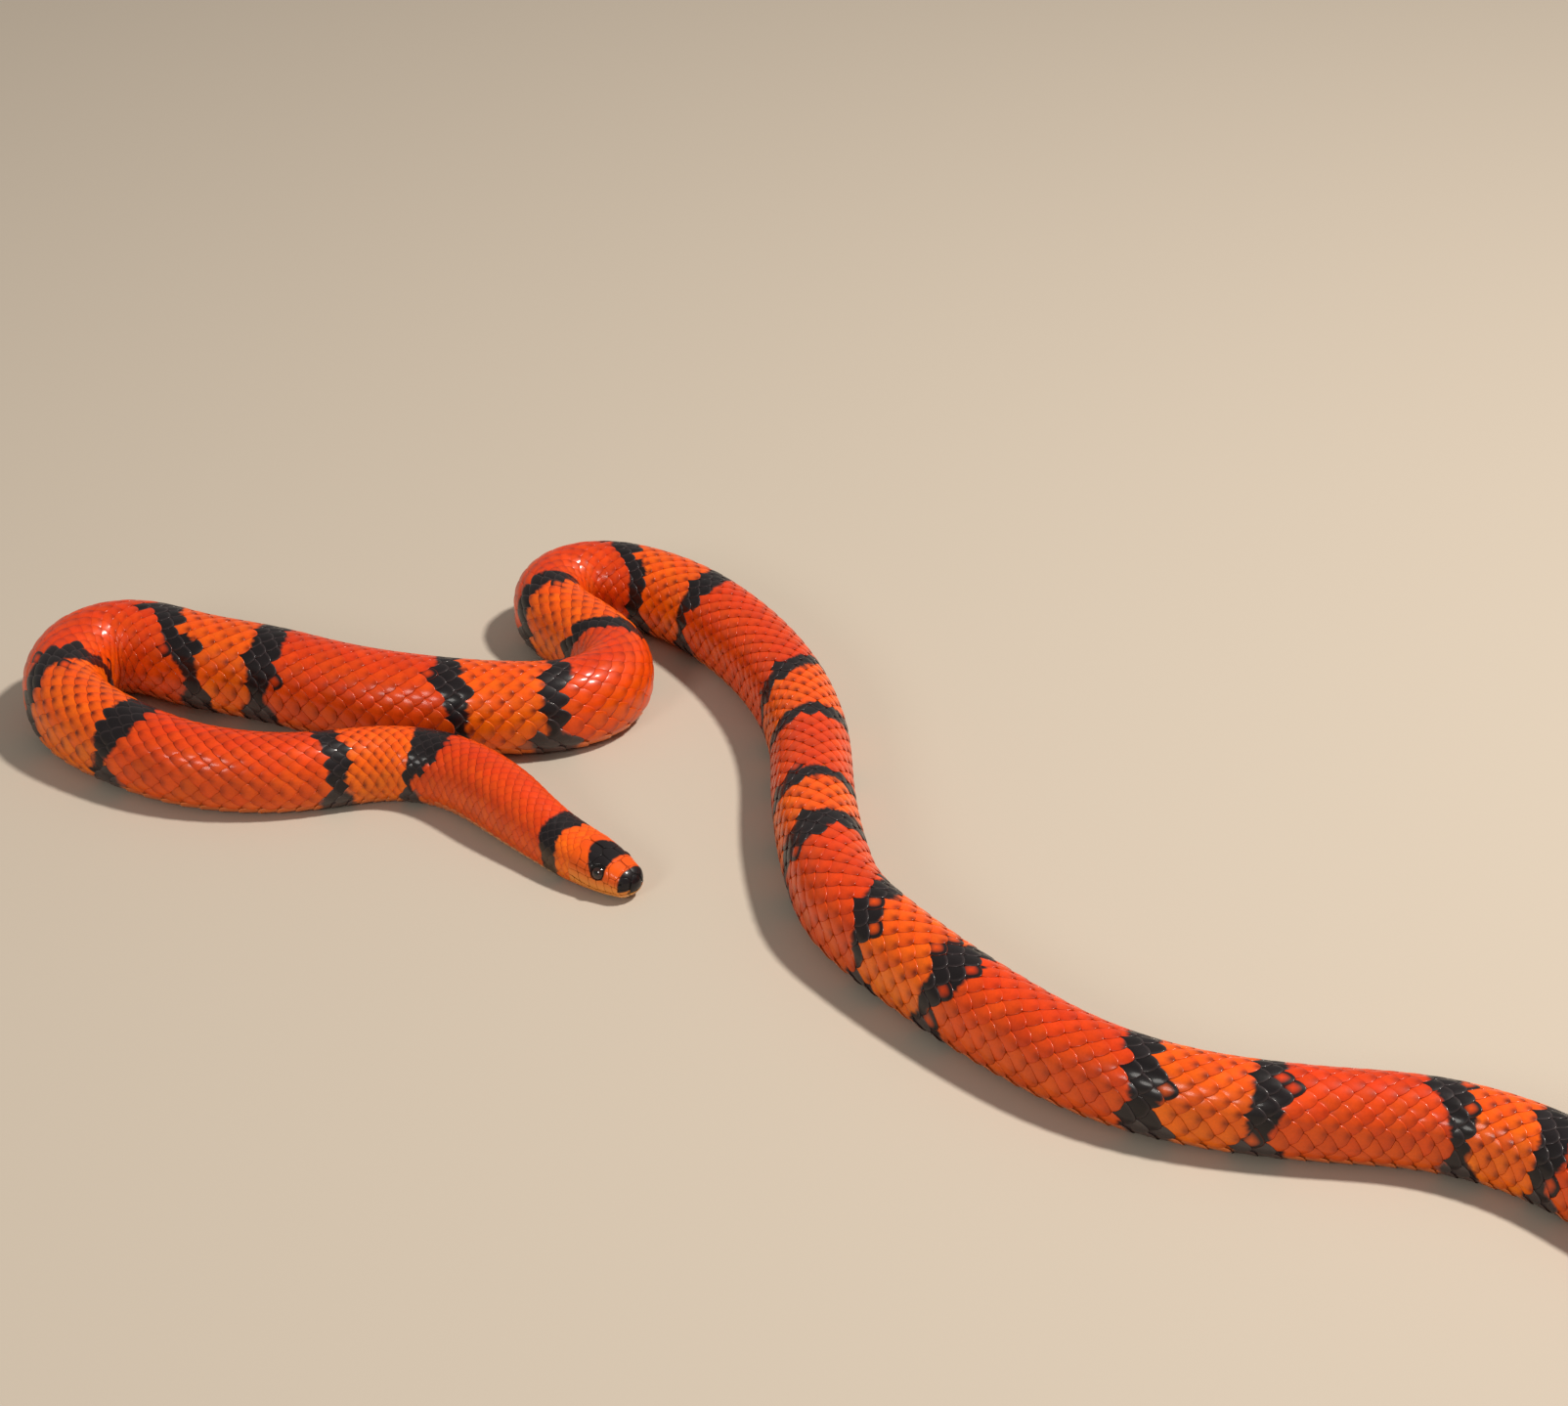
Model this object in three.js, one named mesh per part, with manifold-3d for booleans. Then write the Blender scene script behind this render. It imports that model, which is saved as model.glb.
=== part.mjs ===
// A milk snake at life size, lying in a hairpin, two tight bends and a long curve.
// Units are millimetres, +Z is up, the belly lies on z = 0 and the origin is at
// the middle of the animal's bounding box, on the surface it lies on.
//
// The whole animal is one bent body: a centreline in plan, laid out as a list of
// bends from the snout to the tail tip, and a cross-section that changes along it.
// It is parted into a head, a neck, trunk lengths and a tail by thin gaps.

import * as THREE from 'three';
import { mergeVertices } from 'three/addons/utils/BufferGeometryUtils.js';
import Module from 'manifold-3d';

// ---------------------------------------------------------------- sizes, mm
const START = [-108.09, 5.22];      // snout tip in plan
const START_HEADING = 138.35;       // degrees, the way from the snout towards the tail
const BEND_SMOOTH = 24;             // bends run into each other over this length
const HEAD_END = 31;                // back of the head, from the snout tip
const VENT = 1130;                  // where the trunk ends and the tail begins
const LENGTH = 1330;                // snout to tail tip
const GAP = 0.3;                    // between neighbouring pieces
const WIDE_TO_TALL = 0.92;          // half-width of the body against its half-height
const BELLY_FLAT = 0.6;             // how far the belly curve is pressed flat
const BODY_SIDES = 20;              // corners round the body
const HEAD_SIDES = 28;              // corners round the head
const SNOUT_ROUND = 3.4;            // length over which the snout closes

// Bends of the centreline, [length, turn in degrees], positive to the left.
const BENDS = [
  [30.0, 0.0],      // head, straight
  [12.1, -9.4], [25.3, 3.9],                       // neck
  [40.5, 69.6], [65.0, -59.1], [17.8, -1.4],       // first length, bowed
  [41.3, -66.5], [26.3, -110.3],                   // hairpin
  [32.5, 20.1], [16.0, -14.5], [81.2, 36.3],       // long run
  [41.6, 115.6], [28.0, 12.3],                     // first tight bend
  [36.7, -155.5], [38.8, -31.5],                   // second tight bend
  [28.5, -10.8], [69.6, -27.9], [66.3, 12.5],      // forward curve
  [12.2, 20.6], [75.6, 13.5], [49.4, 30.7],        // sweep to the side
  [37.1, 9.3], [57.4, -47.0],
  [33.0, 4.0], [96.0, 128.0], [62.0, 26.0],        // rear body, round and back
  [88.0, -64.0], [60.0, 10.0], [62.0, 66.0],       // tail
];

// Half-height of the body by distance from the snout tip.
const GIRTH = [
  [0, 5.78], [30, 8.62], [60, 10.44], [100, 10.73], [150, 12.01], [220, 13.6],
  [290, 14.23], [340, 14.14], [380, 13.53], [440, 12.37], [520, 13.1],
  [600, 12.85], [680, 13.3], [760, 12.6], [850, 11.75], [940, 11.5],
  [1010, 11.2], [1080, 10.1], [1130, 8.6], [1180, 7.1], [1240, 5.1],
  [1290, 3.2], [1318, 1.75], [1330, 0.9],
];

// Head: half-width, top, underside, height of the widest line, and how square
// the section is above and below that line, by distance from the snout tip.
const HEAD_WIDTH = [[0, 4.5], [4, 5.3], [8, 6.4], [12, 7.2], [16, 7.8], [20, 8.2], [24, 8.4], [28, 8.35], [32, 8.25], [38, 8.45], [46, 8.9]];
const HEAD_TOP = [[0, 8.9], [4, 10.0], [8, 11.3], [12, 12.1], [16, 12.7], [20, 13.2], [24, 13.8], [28, 14.6], [32, 15.6], [38, 17.2], [46, 18.95]];
const HEAD_UNDER = [[0, 1.7], [4, 1.0], [8, 0.5], [12, 0.2], [16, 0.05], [20, 0], [46, 0]];
const HEAD_WIDEST = [[0, 5.2], [4, 5.0], [8, 5.0], [12, 5.2], [16, 5.6], [20, 6.0], [24, 6.4], [28, 6.9], [32, 7.4], [38, 8.2], [46, 9.28]];
const SQUARE_ABOVE = [[0, 2.4], [8, 2.65], [16, 2.7], [24, 2.4], [34, 2.15], [46, 2.06]];
const SQUARE_BELOW = [[0, 2.2], [16, 2.4], [30, 2.7], [46, 2.8]];

// Eyes: place from the snout tip, height, half-sizes along, up and out, how deep
// the middle lies below the head's surface, and how the eye faces.
const EYE_BACK = 9.4;
const EYE_UP = 8.3;
const EYE_HALF = [2.0, 1.95, 1.35];
const EYE_DEPTH = 0.8;
const EYE_TILT_UP = 22;             // degrees
const EYE_TILT_FORWARD = 11;        // degrees
const SOCKET_GAP = 0.3;

// Where the animal is parted: name, start, end, length of one step along it.
const LENGTHS = [
  ['neck', HEAD_END, 120, 7.5],
  ['trunk_1', 120, 182, 7.8],
  ['trunk_2', 182, 285, 5.8],
  ['trunk_3', 285, 372, 8.8],
  ['trunk_4', 372, 446, 5.4],
  ['trunk_5', 446, 545, 5.4],
  ['trunk_6', 545, 660, 9.6],
  ['trunk_7', 660, 780, 9.3],
  ['trunk_8', 780, 900, 9.3],
  ['trunk_9', 900, 1015, 7.7],
  ['trunk_10', 1015, VENT, 8.9],
  ['tail_base', VENT, 1230, 9.1],
  ['tail_tip', 1230, LENGTH, 8.4],
];

// ------------------------------------------------------------ small helpers
const rad = (deg) => (deg * Math.PI) / 180;

// A smooth curve through [place, value] stations that never overshoots them.
function curveThrough(stations) {
  const n = stations.length;
  const x = stations.map((q) => q[0]);
  const y = stations.map((q) => q[1]);
  const slope = [];
  for (let i = 0; i < n - 1; i++) slope.push((y[i + 1] - y[i]) / (x[i + 1] - x[i]));
  const m = new Array(n).fill(0);
  m[0] = slope[0];
  m[n - 1] = slope[n - 2];
  for (let i = 1; i < n - 1; i++) {
    if (slope[i - 1] * slope[i] > 0) m[i] = (2 * slope[i - 1] * slope[i]) / (slope[i - 1] + slope[i]);
  }
  return (v) => {
    if (v <= x[0]) return y[0];
    if (v >= x[n - 1]) return y[n - 1];
    let i = 0;
    while (v > x[i + 1]) i++;
    const h = x[i + 1] - x[i];
    const t = (v - x[i]) / h;
    return (
      y[i] * (1 + 2 * t) * (1 - t) ** 2 + m[i] * h * t * (1 - t) ** 2 +
      y[i + 1] * t * t * (3 - 2 * t) + m[i + 1] * h * t * t * (t - 1)
    );
  };
}

// --------------------------------------------------------------- centreline
const bendStart = [0];
const bendHeading = [rad(START_HEADING)];
for (const [length, turn] of BENDS) {
  bendStart.push(bendStart[bendStart.length - 1] + length);
  bendHeading.push(bendHeading[bendHeading.length - 1] + rad(turn));
}

function sharpHeading(s) {
  const last = BENDS.length;
  if (s <= 0) return bendHeading[0] + (s * rad(BENDS[0][1])) / BENDS[0][0];
  if (s >= bendStart[last]) return bendHeading[last] + ((s - bendStart[last]) * rad(BENDS[last - 1][1])) / BENDS[last - 1][0];
  let i = 0;
  while (s > bendStart[i + 1]) i++;
  return bendHeading[i] + ((s - bendStart[i]) / BENDS[i][0]) * (bendHeading[i + 1] - bendHeading[i]);
}

function heading(s) {
  let sum = 0;
  for (let k = 0; k < 8; k++) sum += sharpHeading(s + ((k + 0.5) / 8 - 0.5) * BEND_SMOOTH);
  return sum / 8;
}

const way = [[START[0], START[1]]];
for (let s = 0; s < LENGTH; s++) {
  const h = heading(s + 0.5);
  const [x, y] = way[way.length - 1];
  way.push([x + Math.cos(h), y + Math.sin(h)]);
}

function place(s) {
  const i = Math.min(Math.max(Math.floor(s), 0), LENGTH - 1);
  const t = s - i;
  return [way[i][0] + (way[i + 1][0] - way[i][0]) * t, way[i][1] + (way[i + 1][1] - way[i][1]) * t];
}

// A point given by distance along, offset to the left and height.
function at(s, left, up) {
  const [x, y] = place(s);
  const h = heading(s);
  return new THREE.Vector3(x - Math.sin(h) * left, y + Math.cos(h) * left, up);
}

// ------------------------------------------------------------ cross-section
const girth = curveThrough(GIRTH);
const headWidth = curveThrough(HEAD_WIDTH);
const headTop = curveThrough(HEAD_TOP);
const headUnder = curveThrough(HEAD_UNDER);
const headWidest = curveThrough(HEAD_WIDEST);
const squareAbove = curveThrough(SQUARE_ABOVE);
const squareBelow = curveThrough(SQUARE_BELOW);
const NECK_FROM = 46;

function section(s) {
  if (s >= NECK_FROM) {
    const b = girth(s);
    const tip = Math.max(0, 1 - (LENGTH - s) / 4);
    const close = Math.sqrt(Math.max(0, 1 - tip * tip));
    return { w: b * WIDE_TO_TALL * close, top: b * (0.96 + close), under: b * 0.96 * (1 - close), mid: b * 0.96, above: 2.06, below: 2.8 };
  }
  const open = 1 - Math.min(s / SNOUT_ROUND, 1);
  const round = Math.sqrt(1 - open * open);
  const mid = headWidest(s);
  return {
    w: headWidth(s) * round,
    top: mid + (headTop(s) - mid) * round,
    under: mid - (mid - headUnder(s)) * round,
    mid,
    above: squareAbove(s),
    below: squareBelow(s),
  };
}

// The outline at s: angle 0 is the middle of the back, a quarter turn is the left side.
function outline(s, angle) {
  const q = section(s);
  const c = Math.cos(angle);
  const sn = Math.sin(angle);
  const power = 2 / (c >= 0 ? q.above : q.below);
  const left = q.w * Math.sign(sn) * Math.abs(sn) ** power;
  if (c >= 0) return [left, q.mid + (q.top - q.mid) * c ** power];
  const press = BELLY_FLAT * Math.min(1, q.w / 6);
  const low = q.mid - (q.mid - q.under + press) * (-c) ** power;
  return [left, Math.max(low, q.under)];
}

// ------------------------------------------------------------------- solids
// A closed length of the body over the given stations. A station whose section
// has no width is a single point.
function closedLength(stations, sides) {
  const points = [];
  const rings = stations.map((s) => {
    if (section(s).w < 1e-3) {
      points.push(at(s, 0, section(s).mid));
      return [points.length - 1];
    }
    const ring = [];
    for (let j = 0; j < sides; j++) {
      const [left, up] = outline(s, (2 * Math.PI * j) / sides);
      points.push(at(s, left, up));
      ring.push(points.length - 1);
    }
    return ring;
  });
  const faces = [];
  for (let i = 0; i < rings.length - 1; i++) {
    const a = rings[i];
    const b = rings[i + 1];
    for (let j = 0; j < sides; j++) {
      const k = (j + 1) % sides;
      if (a.length === 1) faces.push(a[0], b[j], b[k]);
      else if (b.length === 1) faces.push(a[j], b[0], a[k]);
      else faces.push(a[j], b[j], b[k], a[j], b[k], a[k]);
    }
  }
  const first = rings[0];
  const last = rings[rings.length - 1];
  const s0 = stations[0];
  const s1 = stations[stations.length - 1];
  if (first.length > 1) {
    points.push(at(s0, 0, section(s0).mid));
    for (let j = 0; j < sides; j++) faces.push(points.length - 1, first[j], first[(j + 1) % sides]);
  }
  if (last.length > 1) {
    points.push(at(s1, 0, section(s1).mid));
    for (let j = 0; j < sides; j++) faces.push(points.length - 1, last[(j + 1) % sides], last[j]);
  }
  const geometry = new THREE.BufferGeometry();
  geometry.setAttribute('position', new THREE.Float32BufferAttribute(points.flatMap((p) => [p.x, p.y, p.z]), 3));
  geometry.setIndex(faces);
  return geometry;
}

function evenly(from, to, step) {
  const n = Math.max(2, Math.round((to - from) / step));
  return Array.from({ length: n + 1 }, (_, i) => from + ((to - from) * i) / n);
}

// An eye: a flattened ball set on the side of the head, side is 1 on the left of
// the way from snout to tail and -1 on the right.
function eyeball(side, grow, around, rows) {
  const up = EYE_UP;
  const q = section(EYE_BACK);
  const high = (up - q.mid) / (q.top - q.mid);
  const reach = q.w * (1 - high ** q.above) ** (1 / q.above);
  const geometry = new THREE.SphereGeometry(1, around, rows);
  geometry.rotateX(Math.PI / 2);   // poles up and down the eye's own outward axis
  geometry.scale(EYE_HALF[0] + grow, EYE_HALF[1] + grow, EYE_HALF[2] + grow);
  // x runs along the head towards the tail, y upwards, z outwards
  const h = heading(EYE_BACK);
  const along = new THREE.Vector3(Math.cos(h), Math.sin(h), 0);
  const out = new THREE.Vector3(-Math.sin(h) * side, Math.cos(h) * side, 0);
  const face = out.clone().multiplyScalar(Math.cos(rad(EYE_TILT_UP)))
    .add(new THREE.Vector3(0, 0, Math.sin(rad(EYE_TILT_UP))))
    .addScaledVector(along, -Math.sin(rad(EYE_TILT_FORWARD)))
    .normalize();
  const zAxis = face;
  const xAxis = along.clone().addScaledVector(zAxis, -along.dot(zAxis)).normalize();
  const yAxis = new THREE.Vector3().crossVectors(zAxis, xAxis);
  const middle = at(EYE_BACK, reach * side, up).addScaledVector(face, -EYE_DEPTH);
  geometry.applyMatrix4(new THREE.Matrix4().makeBasis(xAxis, yAxis, zAxis).setPosition(middle));
  return geometry;
}

// ------------------------------------------------------------- cut the head
const wasm = await Module();
wasm.setup();

function toSolid(geometry) {
  const bare = geometry.clone();
  bare.deleteAttribute('normal');
  bare.deleteAttribute('uv');
  const merged = mergeVertices(bare, 1e-5);
  return new wasm.Manifold(new wasm.Mesh({
    numProp: 3,
    vertProperties: new Float32Array(merged.attributes.position.array),
    triVerts: new Uint32Array(merged.index.array),
  }));
}

function toGeometry(solid) {
  const mesh = solid.getMesh();
  const geometry = new THREE.BufferGeometry();
  geometry.setAttribute('position', new THREE.Float32BufferAttribute(mesh.vertProperties, 3));
  geometry.setIndex(Array.from(mesh.triVerts));
  return geometry;
}

const headStations = [0, 0.12, 0.5, 1.1, 2.0, 3.2, 4.8, 6.4, 8.2, 10, 12, 14.2, 16.6, 19.2, 22, 25, 28, HEAD_END - GAP / 2];
let headSolid = toSolid(closedLength(headStations, HEAD_SIDES));
for (const side of [1, -1]) headSolid = headSolid.subtract(toSolid(eyeball(side, SOCKET_GAP, 18, 12)));

// ------------------------------------------------------------------ the group
const skin = (colour) => new THREE.MeshStandardMaterial({ color: colour, roughness: 0.42, metalness: 0 });
const snake = new THREE.Group();

function add(name, geometry, material) {
  geometry.computeVertexNormals();
  const mesh = new THREE.Mesh(geometry, material);
  mesh.name = name;
  snake.add(mesh);
}

add('head', toGeometry(headSolid), skin(0xc7560c));
add('eye_right', eyeball(1, 0, 16, 10), new THREE.MeshStandardMaterial({ color: 0x0b0808, roughness: 0.08, metalness: 0 }));
add('eye_left', eyeball(-1, 0, 16, 10), new THREE.MeshStandardMaterial({ color: 0x0b0808, roughness: 0.08, metalness: 0 }));
LENGTHS.forEach(([name, from, to, step], i) => {
  const end = i === LENGTHS.length - 1 ? to : to - GAP / 2;
  const stations = evenly(from + GAP / 2, end, step);
  if (i === LENGTHS.length - 1) stations.splice(-1, 0, LENGTH - 3, LENGTH - 1.2, LENGTH - 0.3);
  add(name, closedLength(stations, BODY_SIDES), skin(i % 2 ? 0xc03c0a : 0xb83208));
});

export default snake;
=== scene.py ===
import math

import bpy
import numpy as np
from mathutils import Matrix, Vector


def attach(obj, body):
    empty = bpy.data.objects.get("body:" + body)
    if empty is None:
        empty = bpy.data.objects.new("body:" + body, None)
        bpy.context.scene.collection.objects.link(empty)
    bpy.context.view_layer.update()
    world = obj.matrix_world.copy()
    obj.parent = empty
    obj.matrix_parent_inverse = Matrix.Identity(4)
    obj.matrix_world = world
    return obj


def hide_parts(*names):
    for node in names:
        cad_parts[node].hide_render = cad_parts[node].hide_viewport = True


# A milk snake at life size. Lengths are millimetres until a mesh is written, which is
# in metres. A place on the body is s, the way from the snout tip, and a, the angle
# round the body: 0 is the middle of the back, a quarter turn is the side that lies
# to the left of the way towards the tail, and a half turn is the middle of the belly.

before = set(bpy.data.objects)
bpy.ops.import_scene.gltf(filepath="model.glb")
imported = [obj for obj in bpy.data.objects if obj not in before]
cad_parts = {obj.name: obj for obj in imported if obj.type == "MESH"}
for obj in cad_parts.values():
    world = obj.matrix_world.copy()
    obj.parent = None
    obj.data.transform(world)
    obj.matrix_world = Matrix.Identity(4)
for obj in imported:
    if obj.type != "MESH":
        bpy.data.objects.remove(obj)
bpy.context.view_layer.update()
rng = np.random.RandomState(4711)

# ------------------------------------------------------------------ body shape
START = (-108.09, 5.22)
START_HEADING = 138.35
BEND_SMOOTH = 24.0
LENGTH = 1330
VENT = 1130.0
WIDE_TO_TALL = 0.92
BELLY_FLAT = 0.6
SNOUT_ROUND = 3.4
NECK_FROM = 46.0

BENDS = [
    (30.0, 0.0), (12.1, -9.4), (25.3, 3.9), (40.5, 69.6), (65.0, -59.1), (17.8, -1.4),
    (41.3, -66.5), (26.3, -110.3), (32.5, 20.1), (16.0, -14.5), (81.2, 36.3),
    (41.6, 115.6), (28.0, 12.3), (36.7, -155.5), (38.8, -31.5), (28.5, -10.8),
    (69.6, -27.9), (66.3, 12.5), (12.2, 20.6), (75.6, 13.5), (49.4, 30.7), (37.1, 9.3),
    (57.4, -47.0), (33.0, 4.0), (96.0, 128.0), (62.0, 26.0), (88.0, -64.0), (60.0, 10.0),
    (62.0, 66.0),
]
GIRTH = [
    (0, 5.78), (30, 8.62), (60, 10.44), (100, 10.73), (150, 12.01), (220, 13.6),
    (290, 14.23), (340, 14.14), (380, 13.53), (440, 12.37), (520, 13.1), (600, 12.85),
    (680, 13.3), (760, 12.6), (850, 11.75), (940, 11.5), (1010, 11.2), (1080, 10.1),
    (1130, 8.6), (1180, 7.1), (1240, 5.1), (1290, 3.2), (1318, 1.75), (1330, 0.9),
]
HEAD_WIDTH = [(0, 4.5), (4, 5.3), (8, 6.4), (12, 7.2), (16, 7.8), (20, 8.2), (24, 8.4), (28, 8.35), (32, 8.25), (38, 8.45), (46, 8.9)]
HEAD_TOP = [(0, 8.9), (4, 10.0), (8, 11.3), (12, 12.1), (16, 12.7), (20, 13.2), (24, 13.8), (28, 14.6), (32, 15.6), (38, 17.2), (46, 18.95)]
HEAD_UNDER = [(0, 1.7), (4, 1.0), (8, 0.5), (12, 0.2), (16, 0.05), (20, 0), (46, 0)]
HEAD_WIDEST = [(0, 5.2), (4, 5.0), (8, 5.0), (12, 5.2), (16, 5.6), (20, 6.0), (24, 6.4), (28, 6.9), (32, 7.4), (38, 8.2), (46, 9.28)]
SQUARE_ABOVE = [(0, 2.4), (8, 2.65), (16, 2.7), (24, 2.4), (34, 2.15), (46, 2.06)]
SQUARE_BELOW = [(0, 2.2), (16, 2.4), (30, 2.7), (46, 2.8)]

EYE_BACK, EYE_UP = 9.4, 8.3
EYE_HALF = (2.0, 1.95, 1.35)
EYE_DEPTH = 0.8
EYE_TILT_UP, EYE_TILT_FORWARD = 22.0, 11.0

# ---------------------------------------------------------------------- scales
# Length of one scale along the back, and the angle between neighbouring rows.
PITCH = [
    (0, 1.9), (12, 2.1), (20, 2.4), (31, 2.8), (60, 3.5), (100, 4.2), (140, 5.0), (180, 5.8),
    (230, 6.1), (300, 5.8), (360, 5.4), (450, 5.6), (600, 6.0), (700, 6.3), (780, 6.5),
    (830, 5.9), (880, 5.5), (1000, 5.2), (1130, 4.6), (1200, 3.8), (1260, 3.0), (1300, 2.3),
    (1330, 1.9),
]
ROW_ANGLE = [
    (0, 12.84), (40, 12.84), (110, 11.62), (560, 11.62), (640, 12.84), (740, 14.35),
    (1125, 14.35), (1150, 16.27), (1180, 18.8), (1215, 22.2), (1250, 27.1), (1290, 34.9),
    (1330, 48.8),
]
BELLY_FROM = 122.0      # degrees, where the flank's scales end and the belly's begin
COAT_DEPTH = 0.5        # skin below the outer surface, for a scale of full size
FULL_PITCH = 5.6        # length of a scale of full size
BELLY_START = 24.0      # first belly scale
LENGTHS = [
    ("nape", 0, 31), ("neck", 31, 120), ("trunk_1", 120, 182), ("trunk_2", 182, 285),
    ("trunk_3", 285, 372), ("trunk_4", 372, 446), ("trunk_5", 446, 545),
    ("trunk_6", 545, 660), ("trunk_7", 660, 780), ("trunk_8", 780, 900),
    ("trunk_9", 900, 1015), ("trunk_10", 1015, 1130), ("tail_base", 1130, 1230),
    ("tail_tip", 1230, 1331),
]

# -------------------------------------------------------------------- markings
# Black rings: where each begins and ends along the body, at angles of -90, -45, 0,
# 45 and 90 degrees. After the first, each two rings bound one tangerine band.
RING_ANGLES = (-90, -45, 0, 45, 90)
RINGS = [
    ((23.5, 29.0), (25.0, 31.2), (25.2, 31.3), (25.0, 31.6), (23.3, 28.8)),
    ((85.5, 90.5), (79.5, 90.0), (77.7, 88.2), (77.5, 87.5), (86.3, 90.0)),
    ((111, 115.5), (112, 118.5), (111, 117), (107.8, 115), (110.5, 115)),
    ((173, 180), (169, 179), (167.5, 178.5), (168.5, 179), (174.5, 179.5)),
    ((223, 231), (210, 218.5), (209.5, 220), (206, 213.5), (205, 211)),
    ((278, 282), (270, 280), (256.5, 269.5), (255.5, 265), (257, 263)),
    ((298.5, 305.5), (297.5, 308.5), (295.5, 306.5), (294, 303), (296, 303)),
    ((360, 365), (356.8, 365), (354, 361.6), (352.5, 360), (355, 361)),
    ((384.5, 389.3), (385, 391.3), (387, 394), (388.5, 396), (389, 394)),
    ((424, 430), (421.5, 429), (423.6, 431), (429.6, 438), (433, 440)),
    ((461, 466), (460.5, 466), (460, 466.2), (458.5, 464), (457, 462)),
    ((508.5, 513.5), (506, 513.5), (495, 504), (492.5, 500), (492, 498)),
    ((531.5, 536), (532, 540.3), (530.8, 539.4), (526.5, 535.5), (525, 531)),
    ((598, 603), (593.5, 599.5), (588.8, 596), (584.5, 590.5), (583, 588)),
    ((621, 626), (618.5, 626), (616.6, 624), (615.8, 622.5), (616, 621)),
    ((656, 661), (655, 660.5), (652, 658), (652.5, 658), (654, 659)),
    ((682, 688), (678, 689), (675.6, 685), (676.5, 684), (677, 683)),
    ((725, 730), (722.4, 731), (717, 726.3), (711, 720), (709, 715)),
    ((750.5, 756), (752.5, 762.5), (752.4, 763.5), (752, 760.5), (753, 758)),
    ((814.5, 821), (812, 822), (808, 818), (805.5, 815), (806, 812)),
    ((840.5, 847), (841.8, 851), (841.6, 850), (840.5, 848), (841, 847)),
    ((892.5, 897.5), (890, 898), (884, 893), (882, 890), (883, 889)),
    ((917, 922), (915.5, 925), (912.5, 921), (911, 919), (912, 918)),
]
# Rings of the rear body and tail, middle and width on the back.
REAR_RINGS = [
    (964, 8.5), (989, 8.5), (1036, 8.5), (1059, 8.0), (1102, 7.5), (1122, 7.0),
    (1156, 6.5), (1173, 6.0), (1206, 5.5), (1220, 5.2), (1249, 4.5), (1261, 4.2),
    (1287, 3.6), (1296, 3.4),
]
TAIL_TIP_BLACK = 1318.0
# Scales with an orange middle and a black border that stand out at the rings' edges.
EYED = [
    (721.5, -13), (729, -44), (760.5, -17), (762.5, -5), (757, -61), (755.5, -91),
    (848, -9), (852, -22), (844.5, -98), (896.5, -38),
]

# The dark cap of the head: front and rear edge by angle from the middle of the head.
CAP_ANGLE = (0, 10, 20, 30, 40, 50, 60, 70, 80, 85)
CAP_FRONT = (7.7, 7.6, 7.4, 7.4, 7.5, 7.6, 7.8, 8.4, 9.4, 10.2)
CAP_REAR = (16.3, 15.7, 14.9, 14.2, 13.5, 12.9, 12.3, 11.7, 11.0, 10.3)
SNOUT_BLACK = 2.95


def srgb(r, g, b):
    c = np.array([r, g, b], float) / 255
    return np.where(c <= 0.04045, c / 12.92, ((c + 0.055) / 1.055) ** 2.4)


RED = srgb(214, 66, 4)
RED_BACK = srgb(198, 48, 4)
RED_FLANK = srgb(218, 80, 5)
TANGERINE = srgb(228, 86, 3)
TANGERINE_BACK = srgb(216, 71, 3)
TANGERINE_FLANK = srgb(231, 101, 5)
SPOT = srgb(84, 14, 4)
BLACK = srgb(22, 17, 20)
# painted highlight: a grey for the lighter rims painted on black scales, also the grey of bare skin in the black rings
GREY_SKIN_AND_RIM_HIGHLIGHT = srgb(78, 66, 68)
BELLY = srgb(224, 128, 58)
BELLY_BLACK = srgb(70, 62, 62)
LIP = srgb(232, 160, 70)


# ----------------------------------------------------------------- small maths
def rad(x):
    return np.asarray(x, float) * (math.pi / 180)


def curve_through(stations):
    """A smooth curve through [place, value] stations that never overshoots them."""
    x = np.array([q[0] for q in stations], float)
    y = np.array([q[1] for q in stations], float)
    slope = np.diff(y) / np.diff(x)
    m = np.zeros(len(x))
    m[0], m[-1] = slope[0], slope[-1]
    for i in range(1, len(x) - 1):
        if slope[i - 1] * slope[i] > 0:
            m[i] = 2 * slope[i - 1] * slope[i] / (slope[i - 1] + slope[i])

    def f(v):
        v = np.clip(np.asarray(v, float), x[0], x[-1])
        i = np.clip(np.searchsorted(x, v, side="left") - 1, 0, len(x) - 2)
        h = x[i + 1] - x[i]
        t = (v - x[i]) / h
        return (
            y[i] * (1 + 2 * t) * (1 - t) ** 2 + m[i] * h * t * (1 - t) ** 2
            + y[i + 1] * t * t * (3 - 2 * t) + m[i + 1] * h * t * t * (t - 1)
        )

    return f


def step(low, high, x):
    t = np.clip((x - low) / (high - low), 0, 1)
    return t * t * (3 - 2 * t)


def mix(a, b, t):
    return a + (b - a) * np.asarray(t)[..., None]


def wobble(x, y, seed, size):
    """Smooth noise between -1 and 1 over two coordinates, with patches of that size."""
    r = np.random.RandomState(seed)
    grid = r.uniform(-1, 1, (97, 97))
    x, y = np.asarray(x, float) / size, np.asarray(y, float) / size
    i, j = np.floor(x).astype(int), np.floor(y).astype(int)
    u, v = x - i, y - j
    u, v = u * u * (3 - 2 * u), v * v * (3 - 2 * v)
    g = lambda a, b: grid[a % 97, b % 97]
    return (g(i, j) * (1 - u) + g(i + 1, j) * u) * (1 - v) + (g(i, j + 1) * (1 - u) + g(i + 1, j + 1) * u) * v


# ------------------------------------------------------------------ centreline
bend_at = np.concatenate([[0], np.cumsum([b[0] for b in BENDS])])
bend_heading = rad(START_HEADING) + np.concatenate([[0], np.cumsum(rad([b[1] for b in BENDS]))])


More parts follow.
